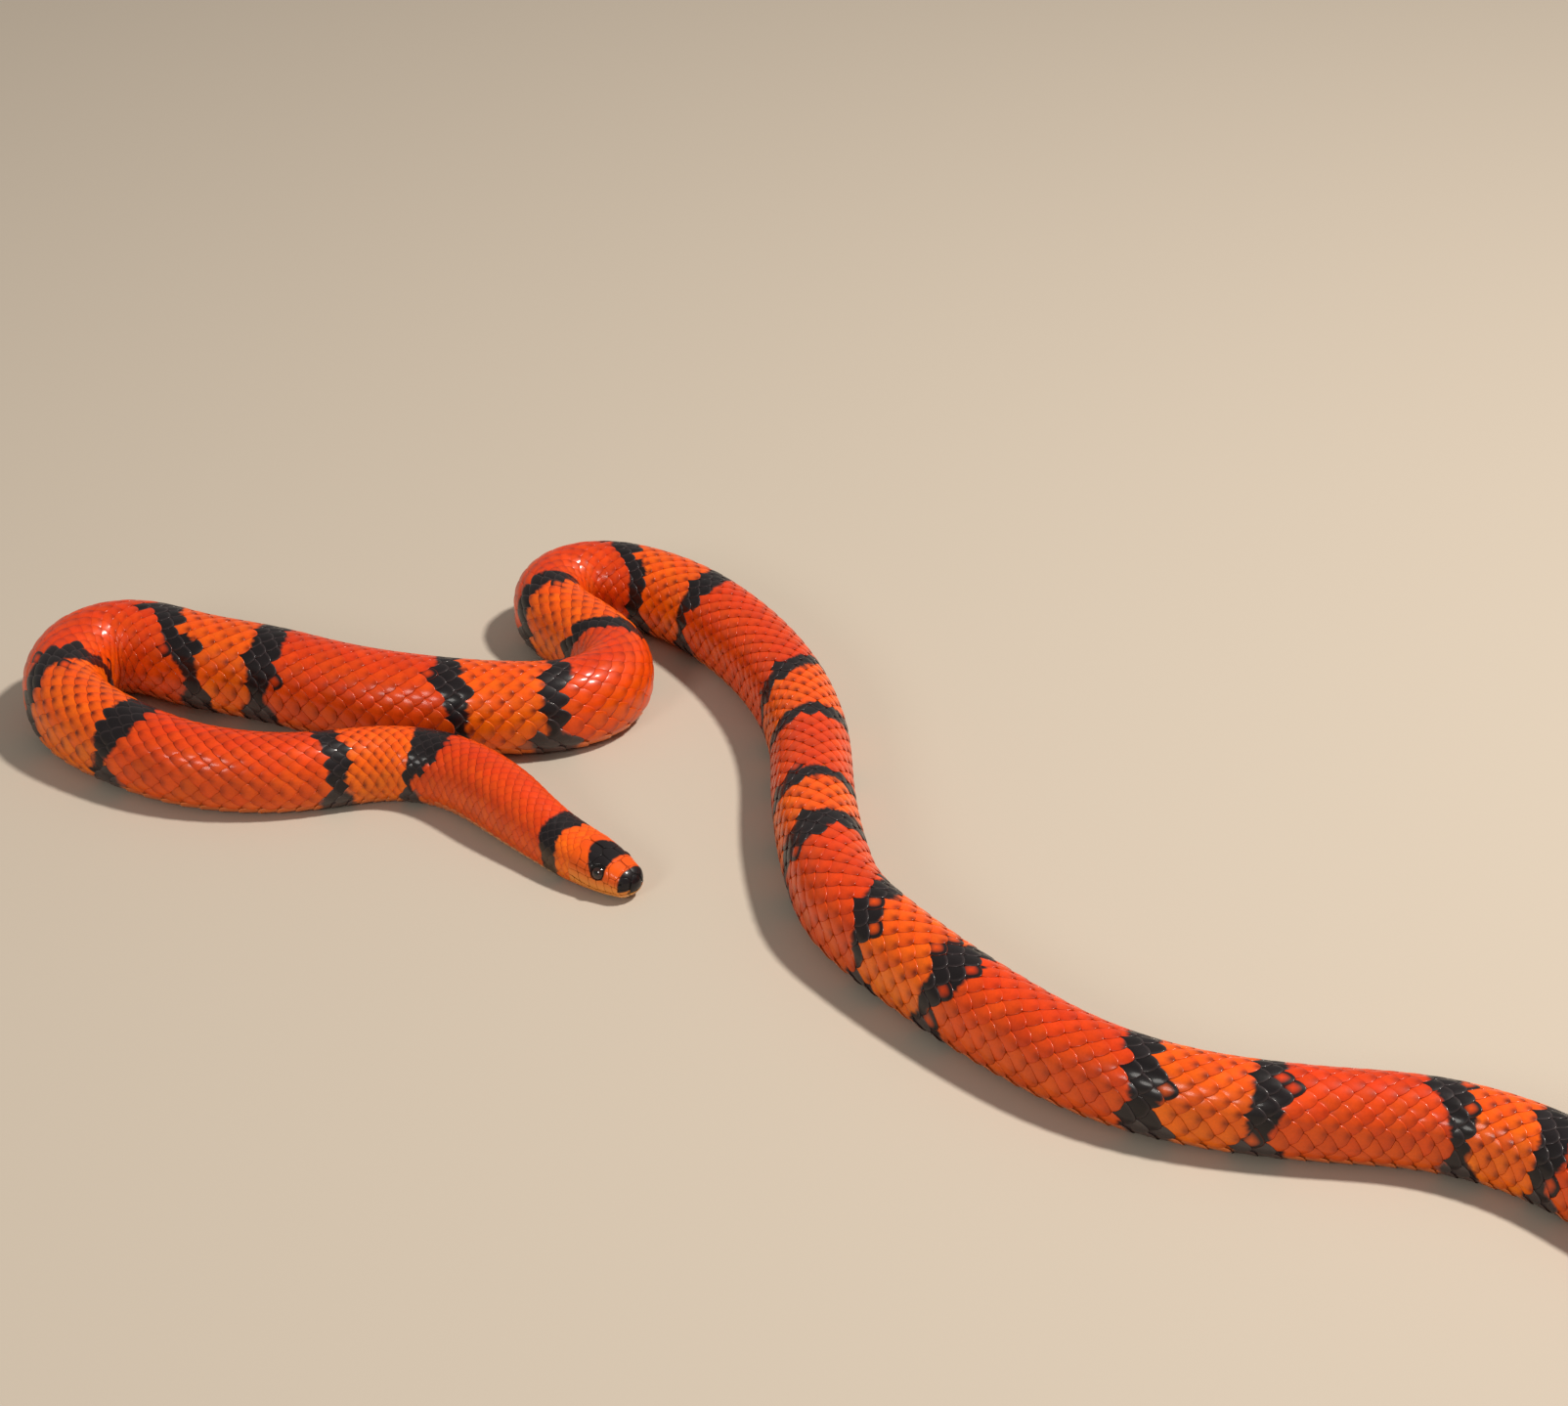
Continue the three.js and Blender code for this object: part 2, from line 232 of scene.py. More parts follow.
def sharp_heading(s):
    h = np.interp(s, bend_at, bend_heading)
    h = np.where(s > bend_at[-1], bend_heading[-1] + (s - bend_at[-1]) * rad(BENDS[-1][1]) / BENDS[-1][0], h)
    return np.where(s < 0, bend_heading[0] + s * rad(BENDS[0][1]) / BENDS[0][0], h)


def true_heading(s):
    s = np.asarray(s, float)
    return sum(sharp_heading(s + ((k + 0.5) / 8 - 0.5) * BEND_SMOOTH) for k in range(8)) / 8


_h = true_heading(np.arange(LENGTH) + 0.5)
way = np.concatenate([[START], np.array(START) + np.cumsum(np.stack([np.cos(_h), np.sin(_h)], -1), 0)])

# Everything that changes along the body, on one fine table.
table_s = np.concatenate([
    np.arange(0, 0.4, 0.002), np.arange(0.4, 4, 0.01), np.arange(4, 50, 0.1), np.arange(50, 1325.9, 0.5),
    np.arange(1326, LENGTH + 0.005, 0.02),
])


def true_section(s):
    b = curve_through(GIRTH)(s)
    tip = np.maximum(0, 1 - (LENGTH - s) / 4)
    close = np.sqrt(np.maximum(0, 1 - tip * tip))
    body = (b * WIDE_TO_TALL * close, b * (0.96 + close), b * 0.96 * (1 - close), b * 0.96, 2.06 + 0 * s, 2.8 + 0 * s)
    opened = 1 - np.minimum(s / SNOUT_ROUND, 1)
    rounded = np.sqrt(np.maximum(0, 1 - opened * opened))
    mid = curve_through(HEAD_WIDEST)(s)
    head = (
        curve_through(HEAD_WIDTH)(s) * rounded,
        mid + (curve_through(HEAD_TOP)(s) - mid) * rounded,
        mid - (mid - curve_through(HEAD_UNDER)(s)) * rounded,
        mid, curve_through(SQUARE_ABOVE)(s), curve_through(SQUARE_BELOW)(s),
    )
    return [np.where(s >= NECK_FROM, p, q) for p, q in zip(body, head)]


SECTION = true_section(table_s)
# the crease where the head's stations meet the body's is eased over a few millimetres
_ease = 4.5 * step(NECK_FROM - 9, NECK_FROM - 4, table_s) * (1 - step(NECK_FROM + 4, NECK_FROM + 9, table_s))
SECTION = [np.mean([np.interp(table_s + _ease * k, table_s, q) for k in np.linspace(-1, 1, 21)], 0) for q in SECTION]
HEADING = true_heading(table_s)
KAPPA = np.gradient(HEADING, table_s)
KAPPA = np.interp(table_s, np.arange(0, LENGTH + 1, 1.0), np.interp(np.arange(0, LENGTH + 1, 1.0), table_s, KAPPA))
PITCH_AT = curve_through(PITCH)(table_s)
TURNS = np.concatenate([[0], np.cumsum(np.diff(table_s) * 2 / (PITCH_AT[1:] + PITCH_AT[:-1]))])


def section(s):
    return [np.interp(s, table_s, q) for q in SECTION]


def heading(s):
    return np.interp(s, table_s, HEADING)


def pitch(s):
    return np.interp(s, table_s, PITCH_AT)


def turns_of(s):
    return np.interp(s, table_s, TURNS)


def s_of_turns(t):
    return np.interp(t, TURNS, table_s)


def row_angle(s):
    return rad(np.interp(s, [q[0] for q in ROW_ANGLE], [q[1] for q in ROW_ANGLE]))


def rows_each_side(s):
    return np.maximum(1, np.round(rad(BELLY_FROM) / row_angle(s) - 0.5)).astype(int)


def belly_edge(s):
    return (rows_each_side(s) + 0.5) * row_angle(s)


def small(s):
    """Thickness of the coat at s, as a share of its full thickness."""
    return np.clip(pitch(s) / FULL_PITCH, 0.36, 1.06)


def stretch(s, left):
    """Length of the surface per length of the centreline, off to the left of it."""
    return 1 - np.interp(s, table_s, KAPPA) * left


def outline(s, a):
    w, top, under, mid, above, below = section(s)
    c, sn = np.cos(a), np.sin(a)
    power = 2 / np.where(c >= 0, above, below)
    left = w * np.sign(sn) * np.abs(sn) ** power
    press = BELLY_FLAT * np.minimum(1, w / 6)
    high = mid + (top - mid) * np.abs(c) ** power
    low = np.maximum(mid - (mid - under + press) * np.abs(c) ** power, under)
    return left, np.where(c >= 0, high, low)


def swell(s, left, up):
    """How far out of the section a point lies: 1 on the surface."""
    w, top, under, mid, above, below = section(s)
    du = up - mid
    press = BELLY_FLAT * np.minimum(1, w / 6)
    tall = np.where(du >= 0, top - mid, mid - under + press)
    p = np.where(du >= 0, above, below)
    return np.abs(left / w) ** p + np.abs(du / tall) ** p


def placed(s, left, up, h):
    """The point h outside the surface at s, left, up."""
    s = np.clip(s, 0.002, LENGTH - 0.003)
    w, top, under, mid, above, below = section(s)
    du = up - mid
    press = BELLY_FLAT * np.minimum(1, w / 6)
    tall = np.where(du >= 0, top - mid, mid - under + press)
    p = np.where(du >= 0, above, below)
    n_left = p * np.sign(left) * np.abs(left / w) ** (p - 1) / w
    n_up = p * np.sign(du) * np.abs(du / tall) ** (p - 1) / tall
    e = np.where(s < 4, np.minimum(0.02, s * 0.5), 0.3)
    e = np.where(s > LENGTH - 5, np.minimum(0.02, (LENGTH - s) * 0.5), e)
    n_on = (swell(s + e, left, up) - swell(s - e, left, up)) / (2 * e) / np.maximum(stretch(s, left), 0.25)
    flat = (up <= under + 1e-4) & (s > 4) & (s < LENGTH - 5)
    n_left, n_on, n_up = np.where(flat, 0, n_left), np.where(flat, 0, n_on), np.where(flat, -1, n_up)
    size = np.sqrt(n_on ** 2 + n_left ** 2 + n_up ** 2) + 1e-12
    n_on, n_left, n_up = n_on / size * h, n_left / size * h, n_up / size * h
    i = np.clip(np.floor(s).astype(int), 0, LENGTH - 1)
    t = (s - i)[..., None]
    xy = way[i] + (way[i + 1] - way[i]) * t
    a = heading(s)
    c, sn = np.cos(a), np.sin(a)
    off = left + n_left
    return np.stack([xy[..., 0] - sn * off + c * n_on, xy[..., 1] + c * off + sn * n_on, up + n_up], -1)


def fold(s, left):
    """Creases of the skin on the inside of a tight bend, as a depth."""
    tight = np.clip((0.62 - stretch(s, left)) / 0.62, 0, 1)
    return tight * 0.32 * (0.5 + 0.5 * np.cos(2 * np.pi * turns_of(s) / 1.5))


def on_body(s, a, h):
    s, a, h = np.broadcast_arrays(np.asarray(s, float), a, h)
    s = np.clip(s, 0.002, LENGTH - 0.003)
    left, up = outline(s, a)
    return placed(s, left, up, h - fold(s, left))


def s_at_front(left, up):
    """Where along the head the surface is, seen from the front."""
    left, up = np.broadcast_arrays(np.asarray(left, float), np.asarray(up, float))
    low, high = np.full(left.shape, 0.002), np.full(left.shape, 9.0)
    for _ in range(40):
        half = (low + high) / 2
        out = swell(half, left, up) > 1
        low, high = np.where(out, half, low), np.where(out, high, half)
    return (low + high) / 2


# -------------------------------------------------------------------- markings
_ring = np.array([[q for q in r] for r in RINGS], float)
_rear = np.array([
    [(m - w * k / 2 + lean, m + w * k / 2 + lean) for k, lean in zip((0.62, 0.95, 1.0, 0.93, 0.66), (1.6 * (-1) ** i, 0.6, 0, -0.5, 1.1 * (-1) ** (i + 1)))]
    for i, (m, w) in enumerate(REAR_RINGS)
])
ALL_RINGS = np.concatenate([_ring, _rear])


def ring_distance(s, a):
    """How far outside the nearest black ring a place is, in mm, below 0 inside it."""
    s, a = np.broadcast_arrays(np.asarray(s, float), np.asarray(a, float))
    deg = np.degrees((a + np.pi) % (2 * np.pi) - np.pi)
    at = np.clip(deg, -90, 90)
    best = np.full(s.shape, 1e3)
    low = np.abs(deg) > 96
    grow = step(96, 112, np.abs(deg)) * 3.0 - step(84, 90, np.abs(deg)) * (1 - step(94, 100, np.abs(deg))) * 0.8
    grow = grow * np.clip(pitch(s) / FULL_PITCH, 0, 1) * (s > 40)
    for ring in ALL_RINGS:
        near = (s > ring.min() - 14) & (s < ring.max() + 14)
        if not near.any():
            continue
        front = np.interp(at[near], RING_ANGLES, ring[:, 0]) - grow[near]
        back = np.interp(at[near], RING_ANGLES, ring[:, 1]) + grow[near]
        best[near] = np.minimum(best[near], np.maximum(front - s[near], s[near] - back))
    return np.minimum(best, TAIL_TIP_BLACK - s)


def tangerine_share(s, a):
    """1 in a tangerine band, 0 in a red one. The bands change under the black rings."""
    s, a = np.broadcast_arrays(np.asarray(s, float), np.asarray(a, float))
    deg = np.degrees((a + np.pi) % (2 * np.pi) - np.pi)
    n = np.zeros(s.shape, int)
    for middle in ALL_RINGS.mean(2):
        n += s > np.interp(deg, RING_ANGLES, middle)
    return (n % 2 == 0).astype(float)


def ground_colour(s, a):
    """Red or tangerine, redder on the back and yellower low on the flank."""
    deg = np.abs(np.degrees((np.asarray(a) + np.pi) % (2 * np.pi) - np.pi))
    t = tangerine_share(s, a)
    mid = mix(np.broadcast_to(RED, t.shape + (3,)), TANGERINE, t)
    back = mix(np.broadcast_to(RED_BACK, t.shape + (3,)), TANGERINE_BACK, t)
    flank = mix(np.broadcast_to(RED_FLANK, t.shape + (3,)), TANGERINE_FLANK, t)
    c = mix(mid, back, 0.75 * (1 - step(8, 48, deg)))
    c = mix(c, flank, 0.85 * step(52, 100, deg))
    belly = step(BELLY_FROM - 12, BELLY_FROM + 16, deg)
    return mix(c, BELLY, 0.75 * belly)


def head_black(s, a):
    """How black the head is: the snout, the cap with its point below the eye."""
    deg = np.abs(np.degrees((np.asarray(a) + np.pi) % (2 * np.pi) - np.pi))
    n = 0.12 * wobble(s * 1.0, a * 7, 31, 1.1)
    front = np.interp(deg, CAP_ANGLE, CAP_FRONT)
    rear = np.interp(deg, CAP_ANGLE, CAP_REAR)
    cap = step(-0.2, 0.2, np.minimum(s - front, rear - s) + n) * (deg < 85.5)
    cap = cap * (1 - 0.25 * step(55, 85, deg))
    snout = step(-0.2, 0.2, SNOUT_BLACK + n - s) * (1 - step(98, 106, deg))
    return np.clip(np.maximum(cap, snout), 0, 1)


def head_colour(s, a):
    deg = np.abs(np.degrees((np.asarray(a) + np.pi) % (2 * np.pi) - np.pi))
    c = ground_colour(s, a)
    c = mix(c, TANGERINE, 0.5 * (s < 8) * (deg < 80))
    c = mix(c, LIP, 0.6 * step(74, 100, deg))
    c = mix(c, srgb(238, 196, 140), 0.6 * step(115, 150, deg))
    return mix(c, BLACK, head_black(s, a))


# --------------------------------------------------------------------- meshes
def write_mesh(name, co, faces, tint, loop_uv, material, slot, extra=None):
    """faces is a list of index arrays, one for triangles and one for quads."""
    mesh = bpy.data.meshes.new(name)
    co = np.ascontiguousarray(co, np.float64) * 0.001
    mesh.vertices.add(len(co))
    mesh.vertices.foreach_set("co", co.astype(np.float32).ravel())
    loops = np.concatenate([f.ravel() for f in faces]).astype(np.int32)
    totals = np.concatenate([np.full(len(f), f.shape[1], np.int32) for f in faces])
    starts = np.concatenate([[0], np.cumsum(totals)[:-1]]).astype(np.int32)
    mesh.loops.add(len(loops))
    mesh.loops.foreach_set("vertex_index", loops)
    mesh.polygons.add(len(totals))
    mesh.polygons.foreach_set("loop_start", starts)
    mesh.polygons.foreach_set("loop_total", totals)
    mesh.polygons.foreach_set("use_smooth", np.ones(len(totals), bool))
    layer = mesh.uv_layers.new(name="OFBake")
    layer.data.foreach_set("uv", np.ascontiguousarray(loop_uv, np.float32).ravel())
    colours = mesh.attributes.new("Tint", "FLOAT_COLOR", "POINT")
    rgba = np.ones((len(co), 4), np.float32)
    rgba[:, :3] = np.clip(tint, 0, 1)
    colours.data.foreach_set("color", rgba.ravel())
    mesh.materials.append(material)
    mesh.update(calc_edges=True)
    mesh.validate()
    thing = bpy.data.objects.new(name, mesh)
    bpy.context.scene.collection.objects.link(thing)
    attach(thing, "root")
    return thing


class Plate:
    """A closed thin plate in polar rings: a top from its middle out, a rim and an underside.
    Its map is a round patch, with the top inside and the rim and underside round it."""

    def __init__(self, corners, rings):
        self.corners, self.rings = corners, np.array(rings)
        n, m = len(rings), corners
        self.angle = 2 * np.pi * np.arange(m) / m
        self.count = 1 + n * m + m + 1
        ring = lambda i: 1 + i * m + np.arange(m)
        nxt = lambda r: np.roll(r, -1)
        r0 = ring(0)
        tris = [np.stack([np.zeros(m, int), r0, nxt(r0)], -1)]
        quads = []
        for i in range(n):
            p, q = ring(i), ring(i + 1)
            quads.append(np.stack([p, q, nxt(q), nxt(p)], -1))
        last = ring(n)
        low = np.full(m, self.count - 1)
        tris.append(np.stack([last, low, nxt(last)], -1))
        self.tris, self.quads = np.concatenate(tris), np.concatenate(quads)
        r = np.concatenate([[0], np.repeat(self.rings * 0.78, m), np.full(m, 0.88), [1.0]])
        th = np.concatenate([[0], np.tile(self.angle, n + 1), [0]])
        uv = np.stack([r * np.cos(th), r * np.sin(th)], -1)
        tri_uv = uv[self.tris]
        under = np.arange(m, 2 * m)
        mid = self.angle + np.pi / m
        tri_uv[under, 1] = np.stack([np.cos(mid), np.sin(mid)], -1)
        self.loop_uv = [tri_uv, uv[self.quads]]
        self.rho = np.concatenate([[0], np.repeat(self.rings, m), np.full(m, 0.975), [0]])
        self.theta = th
        self.top = np.concatenate([np.ones(1 + n * m), np.zeros(m + 1)])
        self.low = np.concatenate([np.zeros(self.count - 1), [1]])

    def faces(self, how_many):
        off = (np.arange(how_many) * self.count)[:, None, None]
        return [(self.tris + off).reshape(-1, 3), (self.quads + off).reshape(-1, 4)]

    def loops(self, middle, half):
        """Map of each loop, for patches with those middles and half sizes."""
        return [
            (middle[:, None, None] + half[:, None, None, None] * l[None]).reshape(-1, 2)
            for l in self.loop_uv
        ]


def join(parts):
    """Meshes given as (points, [tris, quads], tints, [tri loops, quad loops]) made into one."""
    co, tint, base = [], [], 0
    tris, quads, tri_uv, quad_uv = [], [], [], []
    for c, (t, q), colour, (tu, qu) in parts:
        co.append(c), tint.append(colour)
        tris.append(t + base), quads.append(q + base)
        tri_uv.append(tu), quad_uv.append(qu)
        base += len(c)
    return (
        np.concatenate(co), [np.concatenate(tris), np.concatenate(quads)],
        np.concatenate(tint), np.concatenate([np.concatenate(tri_uv), np.concatenate(quad_uv)]),
    )


# ------------------------------------------------------------------- materials
def nodes_of(name):
    m = bpy.data.materials.new(name)
    m.use_nodes = True
    t = m.node_tree
    t.nodes.clear()
    out = t.nodes.new("ShaderNodeOutputMaterial")
    shader = t.nodes.new("ShaderNodeBsdfPrincipled")
    t.links.new(shader.outputs[0], out.inputs[0])
    return m, t, shader


def horny(name, rough, bump, coat, coat_rough, speckle):
    """Smooth horn over colour: scales, shields or bare skin."""
    m, t, shader = nodes_of(name)
    new, link = t.nodes.new, t.links.new
    place = new("ShaderNodeTexCoord")
    tint = new("ShaderNodeAttribute")
    tint.attribute_name = "Tint"
    # blotches of a few millimetres and fine grain vary the colour
    blotch = new("ShaderNodeTexNoise")
    blotch.inputs["Scale"].default_value = 160
    blotch.inputs["Detail"].default_value = 5
    grain = new("ShaderNodeTexNoise")
    grain.inputs["Scale"].default_value = 1500
    grain.inputs["Detail"].default_value = 3
    for n in (blotch, grain):
        link(place.outputs["Object"], n.inputs["Vector"])
    both = new("ShaderNodeMath")
    both.operation = "ADD"
    link(blotch.outputs["Fac"], both.inputs[0])
    link(grain.outputs["Fac"], both.inputs[1])
    vary = new("ShaderNodeMapRange")
    vary.inputs["From Min"].default_value = 0.7
    vary.inputs["From Max"].default_value = 1.3
    vary.inputs["To Min"].default_value = 1 - speckle
    vary.inputs["To Max"].default_value = 1 + speckle * 0.6
    link(both.outputs[0], vary.inputs["Value"])
    shade = new("ShaderNodeVectorMath")
    shade.operation = "SCALE"
    link(tint.outputs["Color"], shade.inputs[0])
    link(vary.outputs[0], shade.inputs["Scale"])
    link(shade.outputs[0], shader.inputs["Base Color"])
    gloss = new("ShaderNodeMapRange")
    gloss.inputs["From Min"].default_value = 0.35
    gloss.inputs["From Max"].default_value = 0.65
    gloss.inputs["To Min"].default_value = rough - 0.05
    gloss.inputs["To Max"].default_value = rough + 0.07
    link(blotch.outputs["Fac"], gloss.inputs["Value"])
    link(gloss.outputs[0], shader.inputs["Roughness"])
    raised = new("ShaderNodeBump")
    raised.inputs["Strength"].default_value = bump
    raised.inputs["Distance"].default_value = 0.00008
    link(grain.outputs["Fac"], raised.inputs["Height"])
    link(raised.outputs[0], shader.inputs["Normal"])
    shader.inputs["IOR"].default_value = 1.27
    shader.inputs["Coat Weight"].default_value = coat
    shader.inputs["Coat Roughness"].default_value = coat_rough
    return m


scale_stuff = horny("scale_horn", 0.42, 0.35, 0.35, 0.16, 0.1)
shield_stuff = horny("head_shield_horn", 0.4, 0.3, 0.4, 0.14, 0.07)
skin_stuff = horny("bare_skin", 0.5, 0.6, 0.0, 0.3, 0.12)

eye_stuff, _t, _shader = nodes_of("eye_wet")
_tint = _t.nodes.new("ShaderNodeAttribute")
_tint.attribute_name = "Tint"
_place = _t.nodes.new("ShaderNodeTexCoord")
_fibre = _t.nodes.new("ShaderNodeTexNoise")
_fibre.inputs["Scale"].default_value = 2600
_fibre.inputs["Detail"].default_value = 4
_t.links.new(_place.outputs["Object"], _fibre.inputs["Vector"])
_span = _t.nodes.new("ShaderNodeMapRange")
_span.inputs["To Min"].default_value = 0.6
_span.inputs["To Max"].default_value = 1.4
_t.links.new(_fibre.outputs["Fac"], _span.inputs["Value"])
_dye = _t.nodes.new("ShaderNodeVectorMath")
_dye.operation = "SCALE"
_t.links.new(_tint.outputs["Color"], _dye.inputs[0])
_t.links.new(_span.outputs[0], _dye.inputs["Scale"])
_t.links.new(_dye.outputs[0], _shader.inputs["Base Color"])
_shader.inputs["Roughness"].default_value = 0.08
_shader.inputs["Coat Weight"].default_value = 0.6
_shader.inputs["Coat Roughness"].default_value = 0.02


# ------------------------------------------------------------------------ skin
def mouth_height(s):
    return np.interp(s, (0, 0.6, 3, 6, 9, 12, 15, 18, 19.5), (3.35, 3.3, 3.15, 3.0, 2.95, 3.25, 4.0, 5.0, 5.3))


MOUTH_END = 18.4


def eye_frame(side):
    """Middle of an eye in plan and height, and its axes along, up and out."""
    w, top, under, mid, above, below = [float(q) for q in section(EYE_BACK)]
    high = (EYE_UP - mid) / (top - mid)
    reach = w * (1 - high ** above) ** (1 / above)
    h = float(true_heading(EYE_BACK))
    along = np.array([math.cos(h), math.sin(h), 0])
    out = np.array([-math.sin(h) * side, math.cos(h) * side, 0])
    face = out * math.cos(rad(EYE_TILT_UP)) + np.array([0, 0, math.sin(rad(EYE_TILT_UP))])
    face = face - along * math.sin(rad(EYE_TILT_FORWARD))
    face = face / np.linalg.norm(face)
    x = along - face * along.dot(face)
    x = x / np.linalg.norm(x)
    y = np.cross(face, x)
    middle = placed(np.array(EYE_BACK), np.array(reach * side), np.array(EYE_UP), np.array(0.0)) - face * (EYE_DEPTH + 0.14)
    return middle, x, y, face


EYES = {side: eye_frame(side) for side in (1, -1)}


def eye_nearness(p):
    """Distance from the nearer eye's axis in eye radii, for points of the head."""
    best = np.full(p.shape[:-1], 99.0)
    for middle, x, y, face in EYES.values():
        q = p - middle
        r = np.sqrt((q @ x / EYE_HALF[0]) ** 2 + (q @ y / EYE_HALF[1]) ** 2)
        best = np.minimum(best, np.where(q @ face > -2.5, r, 99.0))
    return best


def skin():
    head_s = np.concatenate([[0.002, 0.02, 0.06, 0.12, 0.2, 0.32, 0.46, 0.64, 0.86, 1.12, 1.42, 1.76, 2.12, 2.5, 2.9], np.arange(3.3, 46, 0.36), [46.0]])
    tail_s = np.concatenate([np.arange(47.2, 1322, 1.6), [1322, 1323.4, 1324.8, 1326, 1327, 1327.9, 1328.6, 1329.2, 1329.6, 1329.85, 1329.97, LENGTH - 0.003]])
    around_head, around = 128, 64
    parts_co, parts_tint, quads, tris, quad_uv, tri_uv = [], [], [], [], [], []
    fold_rows = 4
    row_long = LENGTH / fold_rows

    def uv(s, a, row):
        return np.stack([0.01 + 0.98 * np.clip((s - row * row_long) / row_long, -0.01, 1.01), (row + 0.03 + 0.94 * (a + np.pi) / (2 * np.pi)) / fold_rows], -1)

    def ring_grid(ss, n, base):
        a = -np.pi + 2 * np.pi * np.arange(n) / n
        s2, a2 = np.meshgrid(ss, a, indexing="ij")
        left, up = outline(s2, a2)
        depth = COAT_DEPTH * small(s2)
        p = placed(s2, left, up, -depth - fold(s2, left))
        on_head = s2 < 24
        groove = np.exp(-(((up - mouth_height(s2)) / 0.22) ** 2)) * (s2 < MOUTH_END) * on_head
        near = eye_nearness(p)
        rim = np.where(on_head, 0.13 * np.exp(-(((near - 1.12) / 0.1) ** 2)) - 0.2 * np.exp(-(((near - 0.97) / 0.07) ** 2)), 0)
        p = placed(s2, left, up, -depth - fold(s2, left) - 0.4 * groove + rim)
        # colour of bare skin between the scales: grey within the black rings, and elsewhere the scales' colour made
        # darker, as painted shade in the gaps between them
        dark = step(0.5, -0.5, ring_distance(s2, a2) + 0.7 * wobble(s2, np.degrees(a2) * 0.2, 7, 2.2))
        dark = np.where(s2 < 20, 0, dark)
        c = ground_colour(s2, a2) * 0.62
        c = mix(c, GREY_SKIN_AND_RIM_HIGHLIGHT, dark)
        c = mix(c, BLACK * 1.5, step(TAIL_TIP_BLACK + 3, TAIL_TIP_BLACK + 7, s2))
        c = np.where((s2 < 20)[..., None], head_colour(s2, a2) * 0.55, c)
        # painted shade: the skin along the mouth's groove is painted dark
        c = mix(c, srgb(46, 14, 12), np.clip(groove * 1.2, 0, 1))
        # painted shade: the skin in the socket round the eye is painted near black
        c = mix(c, srgb(16, 10, 10), np.where(on_head, step(1.3, 1.0, near), 0))
        parts_co.append(p.reshape(-1, 3)), parts_tint.append(c.reshape(-1, 3))
        idx = base + np.arange(len(ss) * n).reshape(len(ss), n)
        b = np.concatenate([idx, idx[:, :1]], 1)
        ag = np.concatenate([a, [np.pi]])
        quads.append(np.stack([b[:-1, :-1], b[1:, :-1], b[1:, 1:], b[:-1, 1:]], -1).reshape(-1, 4))
        row = np.minimum(np.floor((ss[:-1] + ss[1:]) / 2 / row_long), fold_rows - 1)[:, None] + 0 * ag[None, :-1]
        sa, sb = ss[:-1][:, None] + 0 * row, ss[1:][:, None] + 0 * row
        aa, ab = ag[None, :-1] + 0 * row, ag[None, 1:] + 0 * row
        quad_uv.append(np.stack([uv(sa, aa, row), uv(sb, aa, row), uv(sb, ab, row), uv(sa, ab, row)], 2).reshape(-1, 4, 2))
        return idx, ag

    head_idx, head_a = ring_grid(head_s, around_head, 0)
    body_idx, body_a = ring_grid(tail_s, around, head_idx.size)
    h, b = head_idx[-1], body_idx[0]
    sh, sb = head_s[-1], tail_s[0]
    for j in range(around):
        h0, h1, h2 = h[2 * j], h[2 * j + 1], h[(2 * j + 2) % around_head]
        b0, b1 = b[j], b[(j + 1) % around]
        a0, a1, a2 = head_a[2 * j], head_a[2 * j + 1], head_a[2 * j + 2]
        c0, c1 = body_a[j], body_a[j + 1]
        for tri, ang in (((h0, b0, h1), ((sh, a0), (sb, c0), (sh, a1))), ((h1, b0, b1), ((sh, a1), (sb, c0), (sb, c1))), ((h1, b1, h2), ((sh, a1), (sb, c1), (sh, a2)))):
            tris.append(tri)
            tri_uv.append([uv(np.array(float(q)), np.array(float(w)), 0) for q, w in ang])
    # the snout and the tail tip close in fans
    n = head_idx.size + body_idx.size
    nose = placed(np.array(0.002), np.array(1e-6), np.array(float(section(0.002)[3]) + 1e-6), np.array(-COAT_DEPTH * 0.36))
    last = placed(np.array(LENGTH - 0.003), np.array(1e-6), np.array(float(section(LENGTH - 0.003)[3]) + 1e-6), np.array(-COAT_DEPTH * 0.3))
    parts_co.append(np.stack([nose, last])), parts_tint.append(np.stack([BLACK, BLACK]))
    for j in range(around_head):
        k = (j + 1) % around_head
        tris.append((n, head_idx[0, j], head_idx[0, k]))
        tri_uv.append([(0.004, (0.03 + 0.94 * (j + 0.5) / around_head) / fold_rows), uv(np.array(0.002), head_a[j], 0), uv(np.array(0.002), head_a[j + 1], 0)])
    for j in range(around):
        k = (j + 1) % around
        tris.append((body_idx[-1, j], n + 1, body_idx[-1, k]))
        e = np.array(float(LENGTH))
        tri_uv.append([uv(e, body_a[j], fold_rows - 1), (0.996, (fold_rows - 1 + 0.03 + 0.94 * (j + 0.5) / around) / fold_rows), uv(e, body_a[j + 1], fold_rows - 1)])
    faces = [np.array(tris), np.concatenate(quads)]
    loops = np.concatenate([np.array(tri_uv, float).reshape(-1, 2), np.concatenate(quad_uv).reshape(-1, 2)])
    thing = write_mesh("skin", np.concatenate(parts_co), faces, np.concatenate(parts_tint), loops, skin_stuff, "body_skin")
    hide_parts(*[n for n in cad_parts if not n.startswith("eye")])
    return thing


skin()

# ----------------------------------------------------------------- body scales
SCALE = Plate(18, (0.4, 0.72, 0.91, 1.0))
WIDE = Plate(44, (0.22, 0.45, 0.68, 0.88, 0.96, 1.0))


